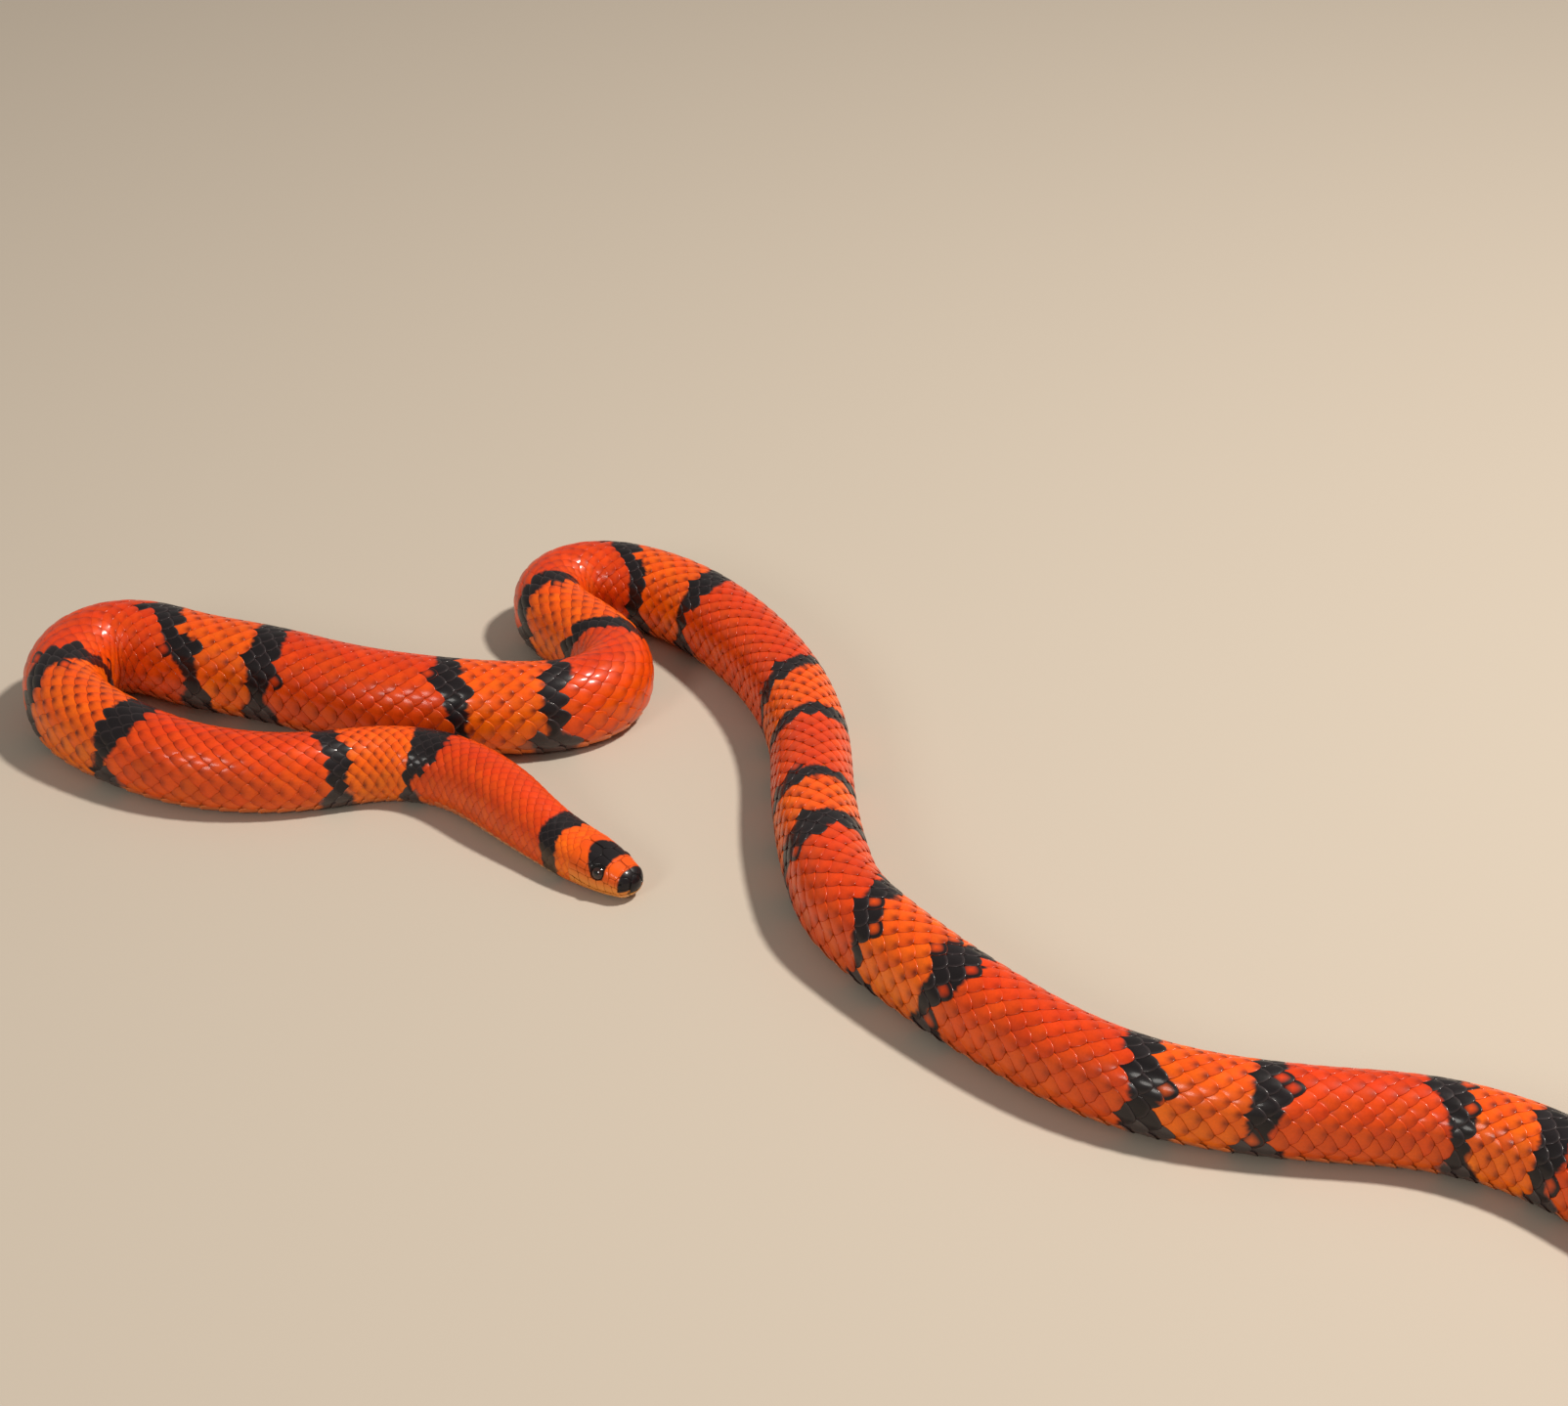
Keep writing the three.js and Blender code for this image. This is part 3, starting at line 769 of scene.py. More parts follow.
def lattice():
    """Every scale of the back and flanks, as its turn along the body and its row."""
    t_all, k_all = [], []
    most = 14
    for k in range(-most, most + 1):
        t = np.arange(math.ceil(turns_of(11)), TURNS[-1] - 0.3) + (0.5 if k % 2 else 0.0)
        s = s_of_turns(t)
        inside = abs(k) <= rows_each_side(s)
        deg = np.abs(k) * np.degrees(row_angle(s))
        first = np.interp(deg, (0, 20, 40, 62, 84, 96, 104, 116, 180), (17.7, 18.0, 17.5, 17.9, 18.1, 18.4, 17.4, 12.6, 12.4))
        throat = (s < BELLY_START) & (deg < 181)
        ok = (inside | throat) & (s > first) & (s < LENGTH - 1.6)
        t_all.append(t[ok]), k_all.append(np.full(ok.sum(), k))
    return np.concatenate(t_all), np.concatenate(k_all)


def scale_parts():
    t0, k0 = lattice()
    n = len(t0)
    s0 = s_of_turns(t0)
    a0 = k0 * row_angle(s0)
    left0, _ = outline(s0, a0)
    pull = stretch(s0, left0)
    r = np.random.RandomState(99)
    rho, th = SCALE.rho[None], SCALE.theta[None]
    c, sn = np.cos(th), np.sin(th)
    rear = c >= 0
    # rounded to the rear, bluntly pointed to the front, where other scales cover it
    p = np.where(rear, 1.6, 1.42)
    along = np.where(rear, 0.59, 0.5) * np.sign(c) * np.abs(c) ** (2 / p)
    across = 0.98 * np.sign(sn) * np.abs(sn) ** (2 / p)
    lowest = np.abs(k0) == rows_each_side(s0)
    length = np.clip(pull, 0.2, None) ** np.where(pull > 1, -0.42, 0.0) * (1 + 0.03 * r.uniform(-1, 1, n))
    u = along * rho * length[:, None]
    v = across * rho * (1 + 0.02 * r.uniform(-1, 1, n) + 0.06 * lowest)[:, None]
    t = t0[:, None] + u
    s = s_of_turns(np.clip(t, 0, TURNS[-1] - 0.01))
    a = (k0[:, None] + v) * row_angle(s)
    size = small(s0) * np.clip(pull * 1.25, 0.5, 1)
    run = np.clip((u + 0.5) / 1.1, 0, 1)
    h = -0.64 + 0.44 * run + 0.25 * (1 - rho ** 2) + 0.015 * r.uniform(-1, 1, n)[:, None]
    h = np.where(SCALE.top > 0, h, np.where(SCALE.low > 0, -0.76, h - 0.13))
    co = on_body(s, a, h * size[:, None])

    # which scales are black: whole scales, so that a ring's edge steps along them
    s_mid = s_of_turns(t0 + 0.22)
    dist = ring_distance(s_mid + 0.10 * pitch(s0) * r.uniform(-1, 1, n), a0)
    edge = pitch(s0) * (0.02 + 0.08 * r.uniform(-1, 1, n))
    black = dist < edge
    half = ~black & (dist < edge + 0.40 * pitch(s0)) & (s0 > 60) & (np.abs(np.degrees(a0)) < 105)
    pick = r.uniform(0, 1, n)
    # eyed scales at the rings' edges, a little orange within and black round it
    eyed = half & (pick < 0.07)
    for at_s, at_deg in EYED:
        eyed[np.argmin(np.abs(s_mid - at_s) / 4 + np.abs(np.degrees(a0) - at_deg) / 12)] = True
    # some of the scales at an edge are black only in part
    parted = (np.abs(dist - edge) < 0.45 * pitch(s0)) & (r.uniform(0, 1, n) < 0.55) & ~eyed
    blackness = np.repeat((black & ~eyed).astype(float)[:, None], SCALE.count, 1)
    blackness[parted] = step(0.4, -0.4, ring_distance(s[parted], a[parted]) + 0.5 * wobble(s[parted], np.degrees(a[parted]) * 0.3, 41, 1.6))

    base = ground_colour(s_mid, a0)
    base = mix(base, srgb(200, 44, 4), 0.16 * (0.5 + 0.5 * wobble(s0, np.degrees(a0) * 0.25, 5, 17.0)))
    jitter = 1 + 0.08 * r.uniform(-1, 1, n) + 0.05 * wobble(s0, np.degrees(a0) * 0.25, 11, 9.0)
    base = base * jitter[:, None]
    base[:, 1] *= 1 + 0.12 * r.uniform(-1, 1, n)
    tan = tangerine_share(s_mid, a0)
    # painted light and shade: brighter in the middle of a scale, a painted highlight on its dome, and deeper towards
    # its edges, painted shade
    lit_middle = base * (1.10 + 0.04 * tan)[:, None]
    lit_middle[:, 1] *= 1.10 + 0.10 * tan
    shaded_edge = base * 0.80
    shaded_edge[:, 1] *= 0.80
    colour = mix(lit_middle[:, None], shaded_edge[:, None] + 0 * rho[..., None], 0.45 * step(0.3, 1.0, rho) + 0 * s)
    # and a dark spot at its rear tip, stronger in tangerine
    strong = (0.50 + 0.36 * tan + 0.14 * tan * np.exp(-(((s0 - 193) / 16) ** 2))) * (1 - 0.4 * step(92, 116, np.abs(np.degrees(a0))))
    strong = strong * (0.82 + 0.25 * r.uniform(-1, 1, n)) * step(30, 110, s0)
    ru, rv = (u / length[:, None] - 0.50) / 0.24, v / 0.34
    spot = np.exp(-(ru ** 2 + rv ** 2) ** 1.1)
    colour = mix(colour, SPOT, np.clip(strong[:, None] * spot, 0, 1))
    dark = BLACK * (1 + 0.25 * r.uniform(-1, 1, n))[:, None, None] * np.ones(3)
    # painted highlight: each black scale's rim is painted a lighter grey
    dark = mix(dark + 0 * colour, GREY_SKIN_AND_RIM_HIGHLIGHT, 0.42 * step(0.80, 1.0, rho) + 0 * s)
    colour = mix(colour, dark, blackness)
    ring_of = step(0.30, 0.52, rho) * (1 - 0.2 * step(0.9, 1.0, rho))
    eye_c = mix(base[:, None] + 0 * colour, BLACK, ring_of + 0 * s)
    colour = np.where(eyed[:, None, None], eye_c, colour)
    # the first ring pales to a brownish grey low on the neck's side
    pale = step(62, 96, np.abs(np.degrees(a0))) * (s0 < 34) * black
    colour = mix(colour, srgb(88, 68, 48), 0.7 * pale[:, None] + 0 * s)
    grey = step(96, 112, np.abs(np.degrees(a0))) * black * (s0 > 34)
    colour = mix(colour, srgb(86, 78, 76), 0.6 * grey[:, None] + 0 * s)
    return s0, a0, co, colour


def belly_parts():
    """Belly scales, one for each turn, then the vent scale and the paired scales of the tail."""
    out = []
    r = np.random.RandomState(5)
    rho, th = WIDE.rho[None], WIDE.theta[None]
    c, sn = np.cos(th), np.sin(th)

    def made(t0, mid_a, half_a, long_u, p, gap):
        n = len(t0)
        s0 = s_of_turns(t0)
        along = np.where(c >= 0, 0.60, 0.50)
        u = along * np.sign(c) * np.abs(c) ** (2 / p) * rho * long_u
        v = np.sign(sn) * np.abs(sn) ** (2 / p) * rho
        # the rear edge bows forward towards the sides
        u = u - 0.05 * v * v
        s = s_of_turns(np.clip(t0[:, None] + u, 0, TURNS[-1] - 0.01))
        a = mid_a[:, None] + v * half_a[:, None] * gap
        run = np.clip((u + 0.5) / 1.1, 0, 1)
        h = -0.46 + 0.40 * run + 0.03 * (1 - rho ** 2)
        h = np.where(WIDE.top > 0, h, np.where(WIDE.low > 0, -0.6, h - 0.12))
        co = on_body(s, a, h * small(s0)[:, None])
        co[..., 2] = np.maximum(co[..., 2], 0.0)
        dist = ring_distance(s + 1.2 * wobble(s0, s0 * 0 + 3, 21, 4.0)[:, None], a) + 0.8 * wobble(s * 1.0, np.degrees(a) * 0.2, 22, 3.0)
        colour = ground_colour(s, a) * (1 + 0.05 * r.uniform(-1, 1, n))[:, None, None]
        colour = mix(colour, srgb(236, 176, 120), 0.25 * step(0.9, 1.0, rho) + 0 * s)
        ringed = step(0.6, -0.6, dist)
        deg = np.abs(np.degrees((a + np.pi) % (2 * np.pi) - np.pi))
        colour = mix(colour, BELLY_BLACK, ringed * (0.96 - 0.35 * step(150, 176, deg)))
        colour = mix(colour, srgb(236, 196, 140), 0.6 * (1 - step(24, 90, s)))
        out.append((s0, np.where(mid_a > np.pi, mid_a - 2 * np.pi, mid_a) + 0 * s0, co, colour))

    t = np.arange(math.ceil(turns_of(BELLY_START)), math.floor(turns_of(VENT)) - 1) + 0.25
    s0 = s_of_turns(t)
    made(t, np.full(len(t), np.pi), np.pi - belly_edge(s0) + rad(2.0), 1.0, 6.0, 1.0)
    t_vent = np.array([t[-1] + 1.35])
    made(t_vent, np.array([np.pi]), np.pi - belly_edge(s_of_turns(t_vent)), 1.55, 3.2, 0.94)
    for side in (1, -1):
        t = np.arange(t_vent[0] + 1.12, TURNS[-1] - 1.6) + (0.0 if side > 0 else 0.5)
        s0 = s_of_turns(t)
        half = (np.pi - belly_edge(s0)) / 2
        made(t, np.pi - side * half, half, 1.0, 5.5, 1.03)
    return out


# ---------------------------------------------------------------- head shields
SHIELD = Plate(48, (0.25, 0.5, 0.72, 0.88, 0.96, 1.0))


def angle_at_height(s, up):
    w, top, under, mid, above, below = [float(q) for q in section(s)]
    press = BELLY_FLAT * min(1, w / 6)
    if up >= mid:
        return math.acos(min(1, max(0, (up - mid) / (top - mid))) ** (above / 2))
    return math.pi - math.acos(min(1, max(0, (mid - up) / (mid - under + press))) ** (below / 2))


def angle_at_left(s, left):
    w, top, under, mid, above, below = [float(q) for q in section(s)]
    return math.asin(min(1, left / w) ** (above / 2))


def side_point(s, up):
    return (s, angle_at_height(s, up))


def top_point(s, left):
    return (s, angle_at_left(s, left))


def lip(s, below=0.0):
    return side_point(s, float(mouth_height(s)) - below)


def front_point(left, up):
    s = float(s_at_front(left, up))
    return side_point(s, up)


# Corners of the shields on one side of the head.
P = {
    "rostral_top": top_point(1.45, 0.0),
    "rostral_shoulder": front_point(1.55, 7.5),
    "rostral_side": front_point(2.35, 5.0),
    "internasal_mid": top_point(3.5, 0.0),
    "internasal_out": side_point(3.3, 8.35),
    "nasal_rear_top": side_point(3.8, 7.5),
    "nasal_rear_low": side_point(3.7, 5.35),
    "prefrontal_mid": top_point(6.6, 0.0),
    "loreal_top": side_point(5.7, 7.9),
    "loreal_low": side_point(5.8, 5.85),
    "preocular_top": side_point(6.8, 10.0),
    "frontal_front": top_point(6.9, 2.35),
    "frontal_rear": top_point(11.0, 2.05),
    "frontal_tip": top_point(12.6, 0.0),
    "over_eye_front": side_point(7.5, 10.0),
    "over_eye": side_point(9.3, 10.55),
    "over_eye_rear": side_point(11.2, 10.1),
    "supraocular_rear": side_point(11.9, 10.5),
    "eye_front": side_point(7.25, 8.3),
    "eye_front_low": side_point(7.5, 6.7),
    "preocular_low": side_point(7.3, 6.3),
    "eye_low": side_point(9.3, 6.15),
    "eye_rear_low": side_point(11.1, 6.5),
    "eye_rear": side_point(11.6, 8.3),
    "postocular_top": side_point(13.0, 9.7),
    "postocular_mid": side_point(13.2, 8.2),
    "postocular_low": side_point(12.6, 6.45),
    "temporal_a": side_point(15.8, 10.5),
    "temporal_b": side_point(16.1, 8.6),
    "temporal_c": side_point(15.6, 6.95),
    "temporal_d": side_point(18.6, 10.3),
    "temporal_e": side_point(18.9, 8.8),
    "temporal_f": side_point(18.8, 7.2),
    "parietal_out": top_point(16.4, 4.9),
    "parietal_rear": top_point(18.6, 3.6),
    "parietal_end": top_point(19.1, 1.2),
    "parietal_mid_end": top_point(18.4, 0.0),
    "sl1": side_point(2.7, 5.15),
    "sl2": side_point(4.7, 5.6),
    "sl3": side_point(7.0, 6.2),
    "sl4": side_point(9.4, 6.15),
    "sl5": side_point(12.0, 6.4),
    "sl6": side_point(15.4, 6.95),
    "sl7": side_point(18.9, 7.0),
}


def mirrored(points):
    return [(s, -a) for s, a in points][::-1]


def shield_list():
    """Each shield as a name, its corners in order and what it is."""
    q = P
    one = []
    one.append(("internasal", [q["rostral_top"], q["internasal_mid"], q["internasal_out"], q["rostral_shoulder"]]))
    one.append(("nasal", [q["rostral_shoulder"], q["internasal_out"], q["nasal_rear_top"], q["nasal_rear_low"], q["sl1"], q["rostral_side"]]))
    one.append(("prefrontal", [q["internasal_mid"], q["prefrontal_mid"], q["frontal_front"], q["preocular_top"], q["loreal_top"], q["nasal_rear_top"], q["internasal_out"]]))
    one.append(("loreal", [q["nasal_rear_top"], q["loreal_top"], q["loreal_low"], q["sl2"], q["nasal_rear_low"]]))
    one.append(("preocular", [q["loreal_top"], q["preocular_top"], q["over_eye_front"], q["eye_front"], q["eye_front_low"], q["preocular_low"], q["loreal_low"]]))
    one.append(("supraocular", [q["frontal_front"], q["frontal_rear"], q["supraocular_rear"], q["over_eye_rear"], q["over_eye"], q["over_eye_front"], q["preocular_top"]]))
    one.append(("postocular_upper", [q["over_eye_rear"], q["supraocular_rear"], q["postocular_top"], q["postocular_mid"], q["eye_rear"]]))
    one.append(("postocular_lower", [q["eye_rear"], q["postocular_mid"], q["postocular_low"], q["sl5"], q["eye_rear_low"]]))
    one.append(("parietal", [q["frontal_tip"], q["parietal_mid_end"], q["parietal_end"], q["parietal_rear"], q["parietal_out"], q["temporal_a"], q["postocular_top"], q["supraocular_rear"], q["frontal_rear"]]))
    one.append(("temporal_1", [q["postocular_top"], q["temporal_a"], q["temporal_b"], q["postocular_mid"]]))
    one.append(("temporal_2", [q["postocular_mid"], q["temporal_b"], q["temporal_c"], q["postocular_low"]]))
    one.append(("temporal_3", [q["temporal_a"], q["parietal_out"], q["parietal_rear"], q["temporal_d"], q["temporal_e"], q["temporal_b"]]))
    one.append(("temporal_4", [q["temporal_b"], q["temporal_e"], q["temporal_f"], q["sl7"], q["sl6"], q["temporal_c"]]))
    top = [q["rostral_side"], q["sl1"], q["sl2"], q["sl3"], q["sl4"], q["sl5"], q["sl6"], q["sl7"]]
    cut = [1.05, 2.4, 4.3, 6.6, 9.0, 11.6, 14.9, 18.7]
    for i in range(7):
        low = [lip(x, -0.09) for x in np.linspace(cut[i + 1], cut[i], 4)]
        high = [top[i], top[i + 1]]
        if i == 3:
            high = [top[i], q["eye_front_low"], q["eye_low"], top[i + 1]]
        if i == 4:
            high = [top[i], q["eye_rear_low"], top[i + 1]]
        one.append((f"supralabial_{i + 1}", high + low))
    cut = [1.1, 2.3, 3.7, 5.4, 7.5, 9.8, 12.2, 14.6, 16.8, 18.6]
    foot = np.interp(cut, (1, 3, 6, 9, 12, 15, 19), (2.25, 1.75, 1.35, 1.15, 1.25, 1.9, 2.9))
    for i in range(9):
        high = [lip(x, 0.11) for x in np.linspace(cut[i], cut[i + 1], 3)]
        low = [side_point(cut[i + 1], foot[i + 1]), side_point(cut[i], foot[i])]
        one.append((f"infralabial_{i + 1}", high + low))
    # chin shields under the jaw
    e = [side_point(s, f) for s, f in ((1.5, 2.0), (3.6, 1.62), (6.2, 1.33), (8.4, 1.19), (10.6, 1.2))]
    belly = lambda s, a: (s, rad(a))
    one.append(("chin_1", [belly(2.0, 178.5), e[0], e[1], e[2], belly(7.2, 150), belly(7.6, 178.5)][::-1]))
    one.append(("chin_2", [belly(7.9, 178.5), belly(7.4, 149), e[2], e[3], e[4], belly(12.0, 146), belly(12.6, 166), belly(12.4, 178.5)][::-1]))
    return one


def round_corners(points, times=2):
    p = np.array(points, float)
    for _ in range(times):
        q = np.roll(p, -1, 0)
        p = np.stack([p * 0.87 + q * 0.13, p * 0.13 + q * 0.87], 1).reshape(-1, p.shape[1])
    return p


def even_outline(p, many, weigh):
    """The outline with its corners spread evenly, starting anywhere."""
    q = np.concatenate([p, p[:1]])
    gaps = np.linalg.norm(np.diff(q, axis=0) * weigh, axis=1)
    run = np.concatenate([[0], np.cumsum(gaps)])
    at = run[-1] * np.arange(many) / many
    return np.stack([np.interp(at, run, q[:, i]) for i in range(q.shape[1])], -1)


def one_shield(corners, place, weigh, middle=None, thick=1.0, uv=None, colour_of=None, pit=None):
    """A plate from corners in any two coordinates, which place() turns into points."""
    p = even_outline(round_corners(corners), SHIELD.corners, weigh)
    area = np.sum(p[:, 0] * np.roll(p[:, 1], -1) - p[:, 1] * np.roll(p[:, 0], -1))
    if area < 0:
        p = p[::-1]
    m = p.mean(0) if middle is None else np.array(middle, float)
    d = (p - m) * weigh
    far = np.linalg.norm(d, axis=1, keepdims=True)
    p = m + (p - m) * (1 - 0.05 / np.maximum(far, 0.3))
    pts = [m[None]]
    for rr in SHIELD.rings:
        pts.append(m + (p - m) * rr)
    pts.append(m + (p - m) * 0.985)
    pts.append(m[None])
    pts = np.concatenate(pts)
    rho = SHIELD.rho
    h = -0.075 + 0.07 * (1 - rho ** 4)
    if pit is not None:
        d2 = np.sum(((pts - np.array(pit)) * weigh) ** 2, -1)
        h = h - 0.62 * np.exp(-(d2 / 0.36 ** 2) ** 1.5)
    h = np.where(SHIELD.top > 0, h, np.where(SHIELD.low > 0, -0.34 if pit is None else -0.95, -0.30)) * thick
    co = place(pts[:, 0], pts[:, 1], h)
    colour = colour_of(pts[:, 0], pts[:, 1])
    colour = mix(colour, colour * 0.55, 0.5 * step(0.93, 1.0, rho))
    # painted shade: the nostril's pit is painted near black
    if pit is not None:
        colour = mix(colour, srgb(5, 4, 4), np.exp(-(d2 / 0.42 ** 2) ** 1.5))
    return co, colour, m, p


def head_parts():
    parts = []
    sid = SHIELD
    r = np.random.RandomState(17)

    def add(co, colour, flat_mid, flat_rim):
        """The shield's map is its own outline on the head's unwrap."""
        n = len(sid.rings)
        many = sid.corners
        ring = lambda f: flat_mid + (flat_rim - flat_mid) * f
        uv = [flat_mid[None]] + [ring(x * 0.84) for x in sid.rings] + [ring(0.91), flat_mid[None]]
        uv = np.concatenate(uv)
        tri_uv = uv[sid.tris]
        under = np.arange(many, 2 * many)
        nxt = np.roll(flat_rim, -1, 0)
        tri_uv[under, 1] = ring(0.985) * 0.5 + (flat_mid + (nxt - flat_mid) * 0.985) * 0.5
        parts.append((co, [sid.tris.copy(), sid.quads.copy()], colour * (1 + 0.04 * r.uniform(-1, 1)), [tri_uv.reshape(-1, 2), uv[sid.quads].reshape(-1, 2)]))

    def unwrap(s, a):
        """Head's unwrap: along and round the body, the chin at both edges."""
        return np.stack([0.03 + 0.94 * s / 20.0, 0.5 + 0.47 * a / np.pi], -1)

    for name, corners in shield_list():
        for side in (1, -1):
            pts = corners if side > 0 else mirrored(corners)
            pit = middle = None
            if name == "nasal":
                s, a = side_point(2.35, 6.5)
                pit = middle = (s, a * side)
            co, colour, m, p = one_shield(
                pts, lambda s, a, h: on_body(s, a, h), np.array([1.0, 6.5]), middle=middle, pit=pit, colour_of=head_colour)
            add(co, colour, unwrap(m[0], m[1]), unwrap(p[:, 0], p[:, 1]))
    # the frontal lies on the middle line, the rostral and the mental on the snout's front
    q = P
    pts = [q["frontal_tip"], q["frontal_rear"], q["frontal_front"], q["prefrontal_mid"]] + [(s, -a) for s, a in (q["frontal_front"], q["frontal_rear"])]
    co, colour, m, p = one_shield(pts, lambda s, a, h: on_body(s, a, h), np.array([1.0, 6.5]), colour_of=head_colour)
    add(co, colour, unwrap(m[0], m[1]), unwrap(p[:, 0], p[:, 1]))

    def in_front(left, up, h):
        return placed(s_at_front(left, up), left, up, h)

    def front_colour(left, up):
        s = s_at_front(left, up)
        low = up < mouth_height(s)
        c = np.broadcast_to(BLACK, s.shape + (3,))
        return np.where(low[..., None], mix(LIP + 0 * c, BLACK, 0.35 * step(1.5, 0.4, np.abs(left))), c)

    top = section(1.45)[1]
    rostral = [(0.0, float(top)), (1.55, 7.5), (2.35, 5.0), (2.25, 3.45), (0.85, 3.5), (0.0, 3.85), (-0.85, 3.5), (-2.25, 3.45), (-2.35, 5.0), (-1.55, 7.5)]
    co, colour, m, p = one_shield(rostral, in_front, np.array([1.0, 1.0]), colour_of=front_colour)
    flat = lambda l, u, base: np.stack([base[0] + 0.016 * np.asarray(l), base[1] + 0.016 * (np.asarray(u) - 5.5)], -1)
    add(co, colour, flat(m[0], m[1], (0.05, 0.055)), flat(p[:, 0], p[:, 1], (0.05, 0.055)))
    mental = [(0.0, 3.45), (1.9, 3.2), (2.1, 2.7), (1.2, 2.05), (0.0, 1.85), (-1.2, 2.05), (-2.1, 2.7), (-1.9, 3.2)]
    co, colour, m, p = one_shield(mental, in_front, np.array([1.0, 1.0]), colour_of=front_colour)
    add(co, colour, flat(m[0], m[1], (0.05, 0.985)), flat(p[:, 0], p[:, 1], (0.05, 0.985)))
    return parts


shields = write_mesh("coat_head_shields", *join(head_parts()), shield_stuff, "head_skin")


def write_coat():
    groups = {name: [] for name, _, _ in LENGTHS}
    s0, a0, co, colour = scale_parts()
    patch = 0.008      # half the width of a scale's patch on the map
    for name, low, high in LENGTHS:
        own = (s0 >= low) & (s0 < high)
        n = int(own.sum())
        if n:
            long = high - low
            middle = np.stack([0.02 + 0.96 * (s0[own] - low) / long, 0.5 + 0.48 * ((a0[own] + np.pi) % (2 * np.pi) - np.pi) / np.pi], -1)
            groups[name].append((co[own].reshape(-1, 3), SCALE.faces(n), colour[own].reshape(-1, 3), SCALE.loops(middle, np.full(n, patch))))
    for s0, a0, co, colour in belly_parts():
        for name, low, high in LENGTHS:
            own = (s0 >= low) & (s0 < high)
            n = int(own.sum())
            if n:
                long = high - low
                v = np.where(np.abs(np.abs(a0[own]) - np.pi) < 0.05, 0.012, 0.5 + 0.48 * a0[own] / np.pi)
                middle = np.stack([0.02 + 0.96 * (s0[own] - low) / long, v], -1)
                groups[name].append((co[own].reshape(-1, 3), WIDE.faces(n), colour[own].reshape(-1, 3), WIDE.loops(middle, np.full(n, patch))))
    for name, _, _ in LENGTHS:
        if groups[name]:
            write_mesh("coat_" + name, *join(groups[name]), scale_stuff, "head_skin" if name == "nape" else "body_skin")


write_coat()


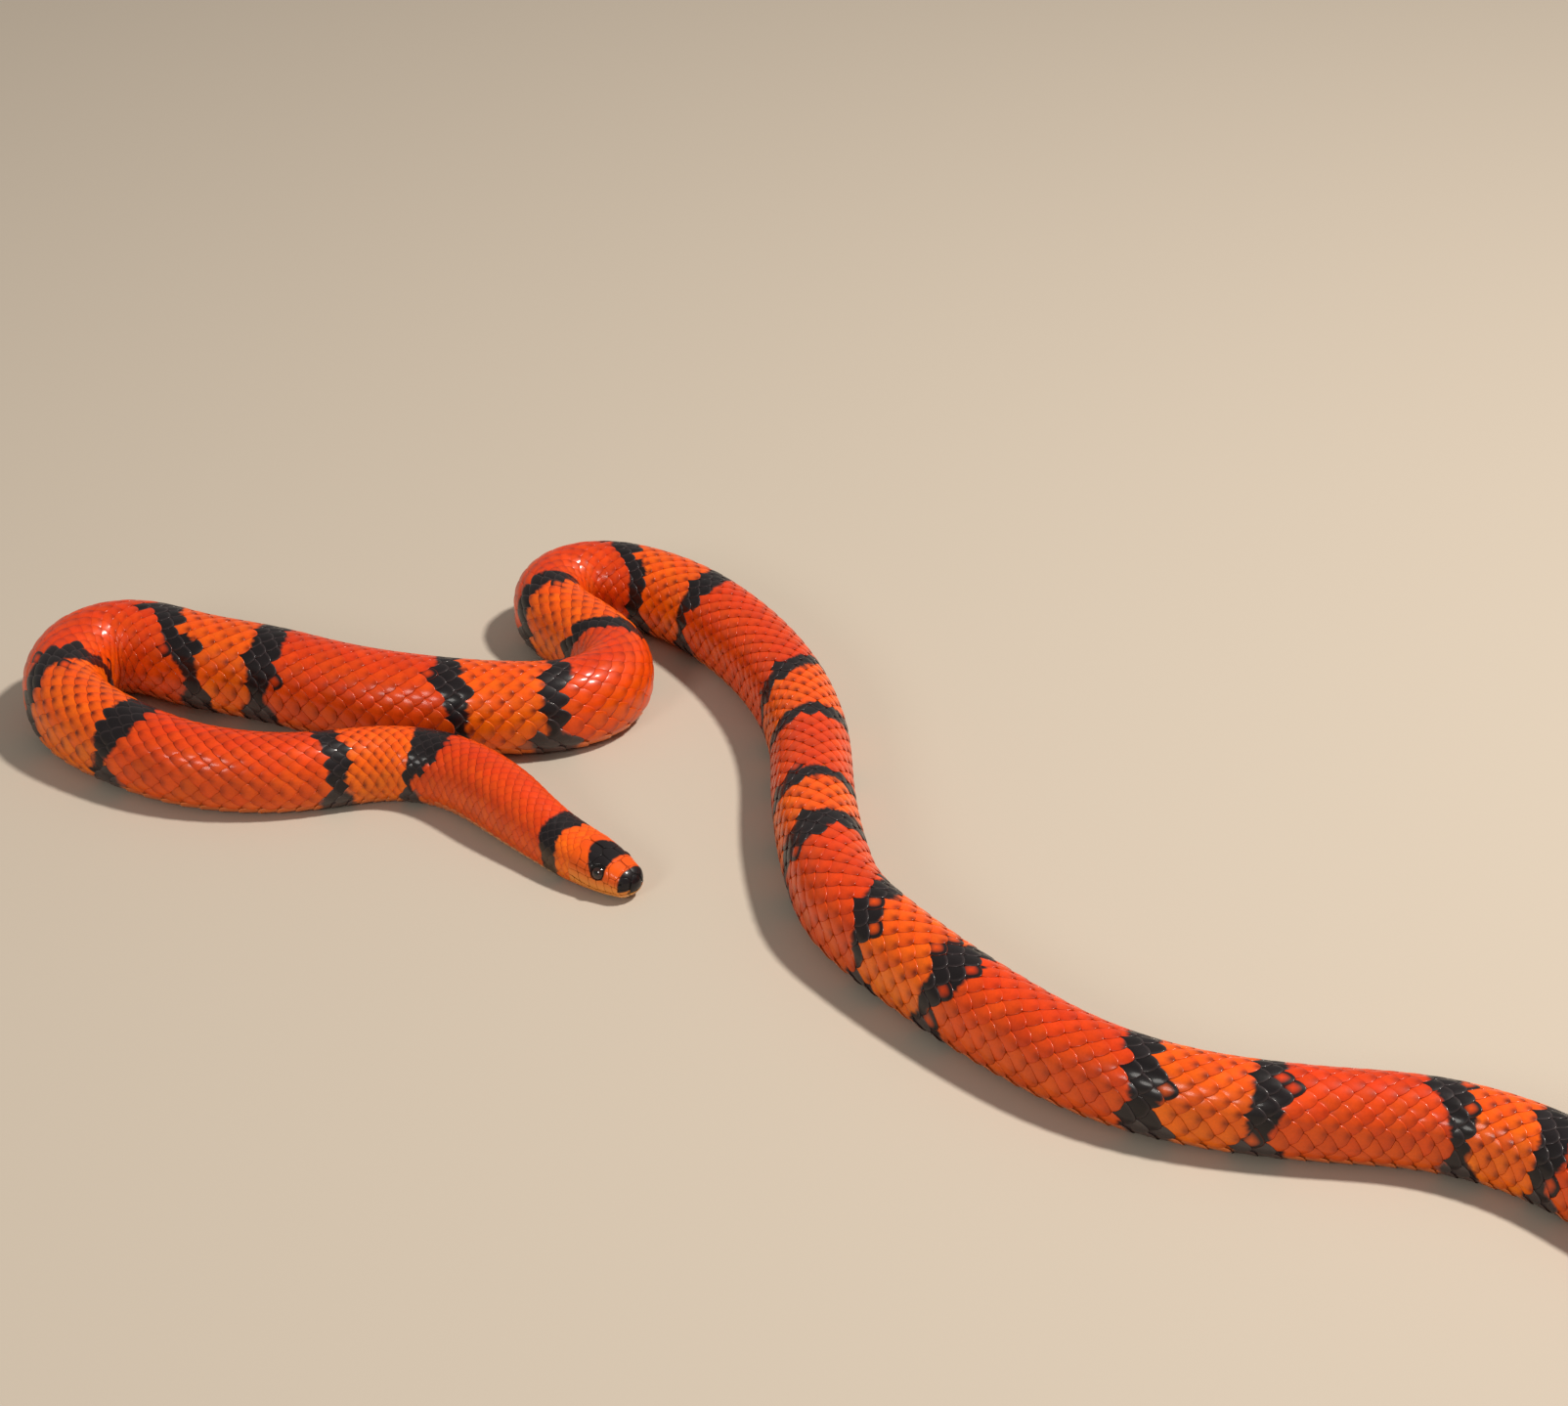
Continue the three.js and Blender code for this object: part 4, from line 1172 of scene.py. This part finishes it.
# ------------------------------------------------------------------------ eyes
def eye(name, side):
    middle, x, y, face = EYES[side]
    n, m = 40, 64
    th = np.linspace(0, np.pi, n + 1)[1:-1]
    ph = 2 * np.pi * np.arange(m) / m
    t2, p2 = np.meshgrid(th, ph, indexing="ij")
    unit = np.stack([np.sin(t2) * np.cos(p2), np.sin(t2) * np.sin(p2), np.cos(t2)], -1).reshape(-1, 3)
    unit = np.concatenate([unit, [[0, 0, 1], [0, 0, -1]]])
    co = middle + unit[:, :1] * EYE_HALF[0] * x + unit[:, 1:2] * EYE_HALF[1] * y + unit[:, 2:] * EYE_HALF[2] * face
    q = np.sqrt(unit[:, 0] ** 2 + unit[:, 1] ** 2) + np.where(unit[:, 2] < 0, 2.0, 0)
    fibres = 1 + 0.35 * np.sin(np.arctan2(unit[:, 1], unit[:, 0]) * 23) * np.sin(q * 31)
    iris = srgb(44, 15, 9) * fibres[:, None]
    c = mix(np.broadcast_to(srgb(5, 4, 4), (len(q), 3)), iris, step(0.40, 0.46, q) * (1 - step(0.70, 0.86, q)))
    c = mix(c, srgb(96, 36, 14), 0.45 * np.exp(-(((q - 0.47) / 0.025) ** 2)))
    idx = np.arange((n - 1) * m).reshape(n - 1, m)
    b = np.concatenate([idx, idx[:, :1]], 1)
    quads = np.stack([b[:-1, :-1], b[1:, :-1], b[1:, 1:], b[:-1, 1:]], -1).reshape(-1, 4)
    k = (n - 1) * m
    tris = np.concatenate([
        np.stack([np.full(m, k), b[0, :-1], b[0, 1:]], -1),
        np.stack([b[-1, :-1], np.full(m, k + 1), b[-1, 1:]], -1),
    ])

    def disc(r, a, back):
        """Front half of the ball on one disc of the map, back half on another."""
        f = 0.235 * np.where(r <= 0.5, r, 1 - r) * 2
        cx = np.where(back, 0.75, 0.25)
        return np.stack([cx + f * np.cos(a), 0.5 + f * np.sin(a) * np.where(back, -1, 1)], -1)

    row_r = th / np.pi
    pa = np.concatenate([ph, [2 * np.pi]])
    r0, r1 = row_r[:-1][:, None] + 0 * pa[None, :-1], row_r[1:][:, None] + 0 * pa[None, :-1]
    a0, a1 = pa[None, :-1] + 0 * r0, pa[None, 1:] + 0 * r0
    back = (r0 + r1) / 2 > 0.5
    quad_uv = np.stack([disc(r0, a0, back), disc(r1, a0, back), disc(r1, a1, back), disc(r0, a1, back)], 2).reshape(-1, 2)
    f0, f1 = row_r[0] + 0 * ph, row_r[-1] + 0 * ph
    no, yes = np.zeros(m, bool), np.ones(m, bool)
    tri_uv = np.concatenate([
        np.stack([disc(0 * ph, ph, no), disc(f0, pa[:-1], no), disc(f0, pa[1:], no)], 1),
        np.stack([disc(f1, pa[:-1], yes), disc(0 * ph + 1, ph, yes), disc(f1, pa[1:], yes)], 1),
    ]).reshape(-1, 2)
    thing = write_mesh(name + "_ball", co, [tris, quads], c, np.concatenate([tri_uv, quad_uv]), eye_stuff, "eye")
    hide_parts(name)


eye("eye_right", 1)
eye("eye_left", -1)

# ----------------------------------------------------------- floor, light, view
floor_mesh = bpy.data.meshes.new("floor")
floor_mesh.from_pydata([(-15, -15, -0.0001), (15, -15, -0.0001), (15, 15, -0.0001), (-15, 15, -0.0001)], [], [(0, 1, 2, 3)])
floor = bpy.data.objects.new("floor", floor_mesh)
bpy.context.scene.collection.objects.link(floor)
floor_stuff, _t, _shader = nodes_of("pale_floor")
_shader.inputs["Base Color"].default_value = (0.47, 0.41, 0.34, 1)
_shader.inputs["Roughness"].default_value = 0.85
floor_mesh.materials.append(floor_stuff)

world = bpy.data.worlds.new("studio")
bpy.context.scene.world = world
world.use_nodes = True
world.node_tree.nodes["Background"].inputs[0].default_value = (1.0, 0.94, 0.86, 1)
world.node_tree.nodes["Background"].inputs[1].default_value = 0.3


def area_light(name, place, aim, size, power, colour):
    light = bpy.data.lights.new(name, "AREA")
    light.shape = "DISK"
    light.size = size
    light.energy = power
    light.color = colour
    thing = bpy.data.objects.new(name, light)
    bpy.context.scene.collection.objects.link(thing)
    thing.location = place
    thing.rotation_euler = (Vector(aim) - Vector(place)).to_track_quat("-Z", "Y").to_euler()
    return thing


area_light("key", (0.70, 0.05, 1.40), (0, 0, 0), 0.16, 30, (1.0, 0.94, 0.86))
area_light("fill", (-0.9, -1.3, 0.9), (0, 0, 0), 0.5, 8, (1.0, 0.96, 0.9))

camera = bpy.data.cameras.new("camera")
camera.sensor_fit = "HORIZONTAL"
camera.sensor_width = 36
camera.lens = 36 * 3600 / 1604
camera.clip_start = 0.01
viewer = bpy.data.objects.new("camera", camera)
bpy.context.scene.collection.objects.link(viewer)
viewer.location = (-0.06773, -0.80855, 0.53314)
viewer.rotation_euler = (math.radians(60), 0, 0)
bpy.context.scene.camera = viewer
bpy.context.scene.view_settings.view_transform = "Standard"
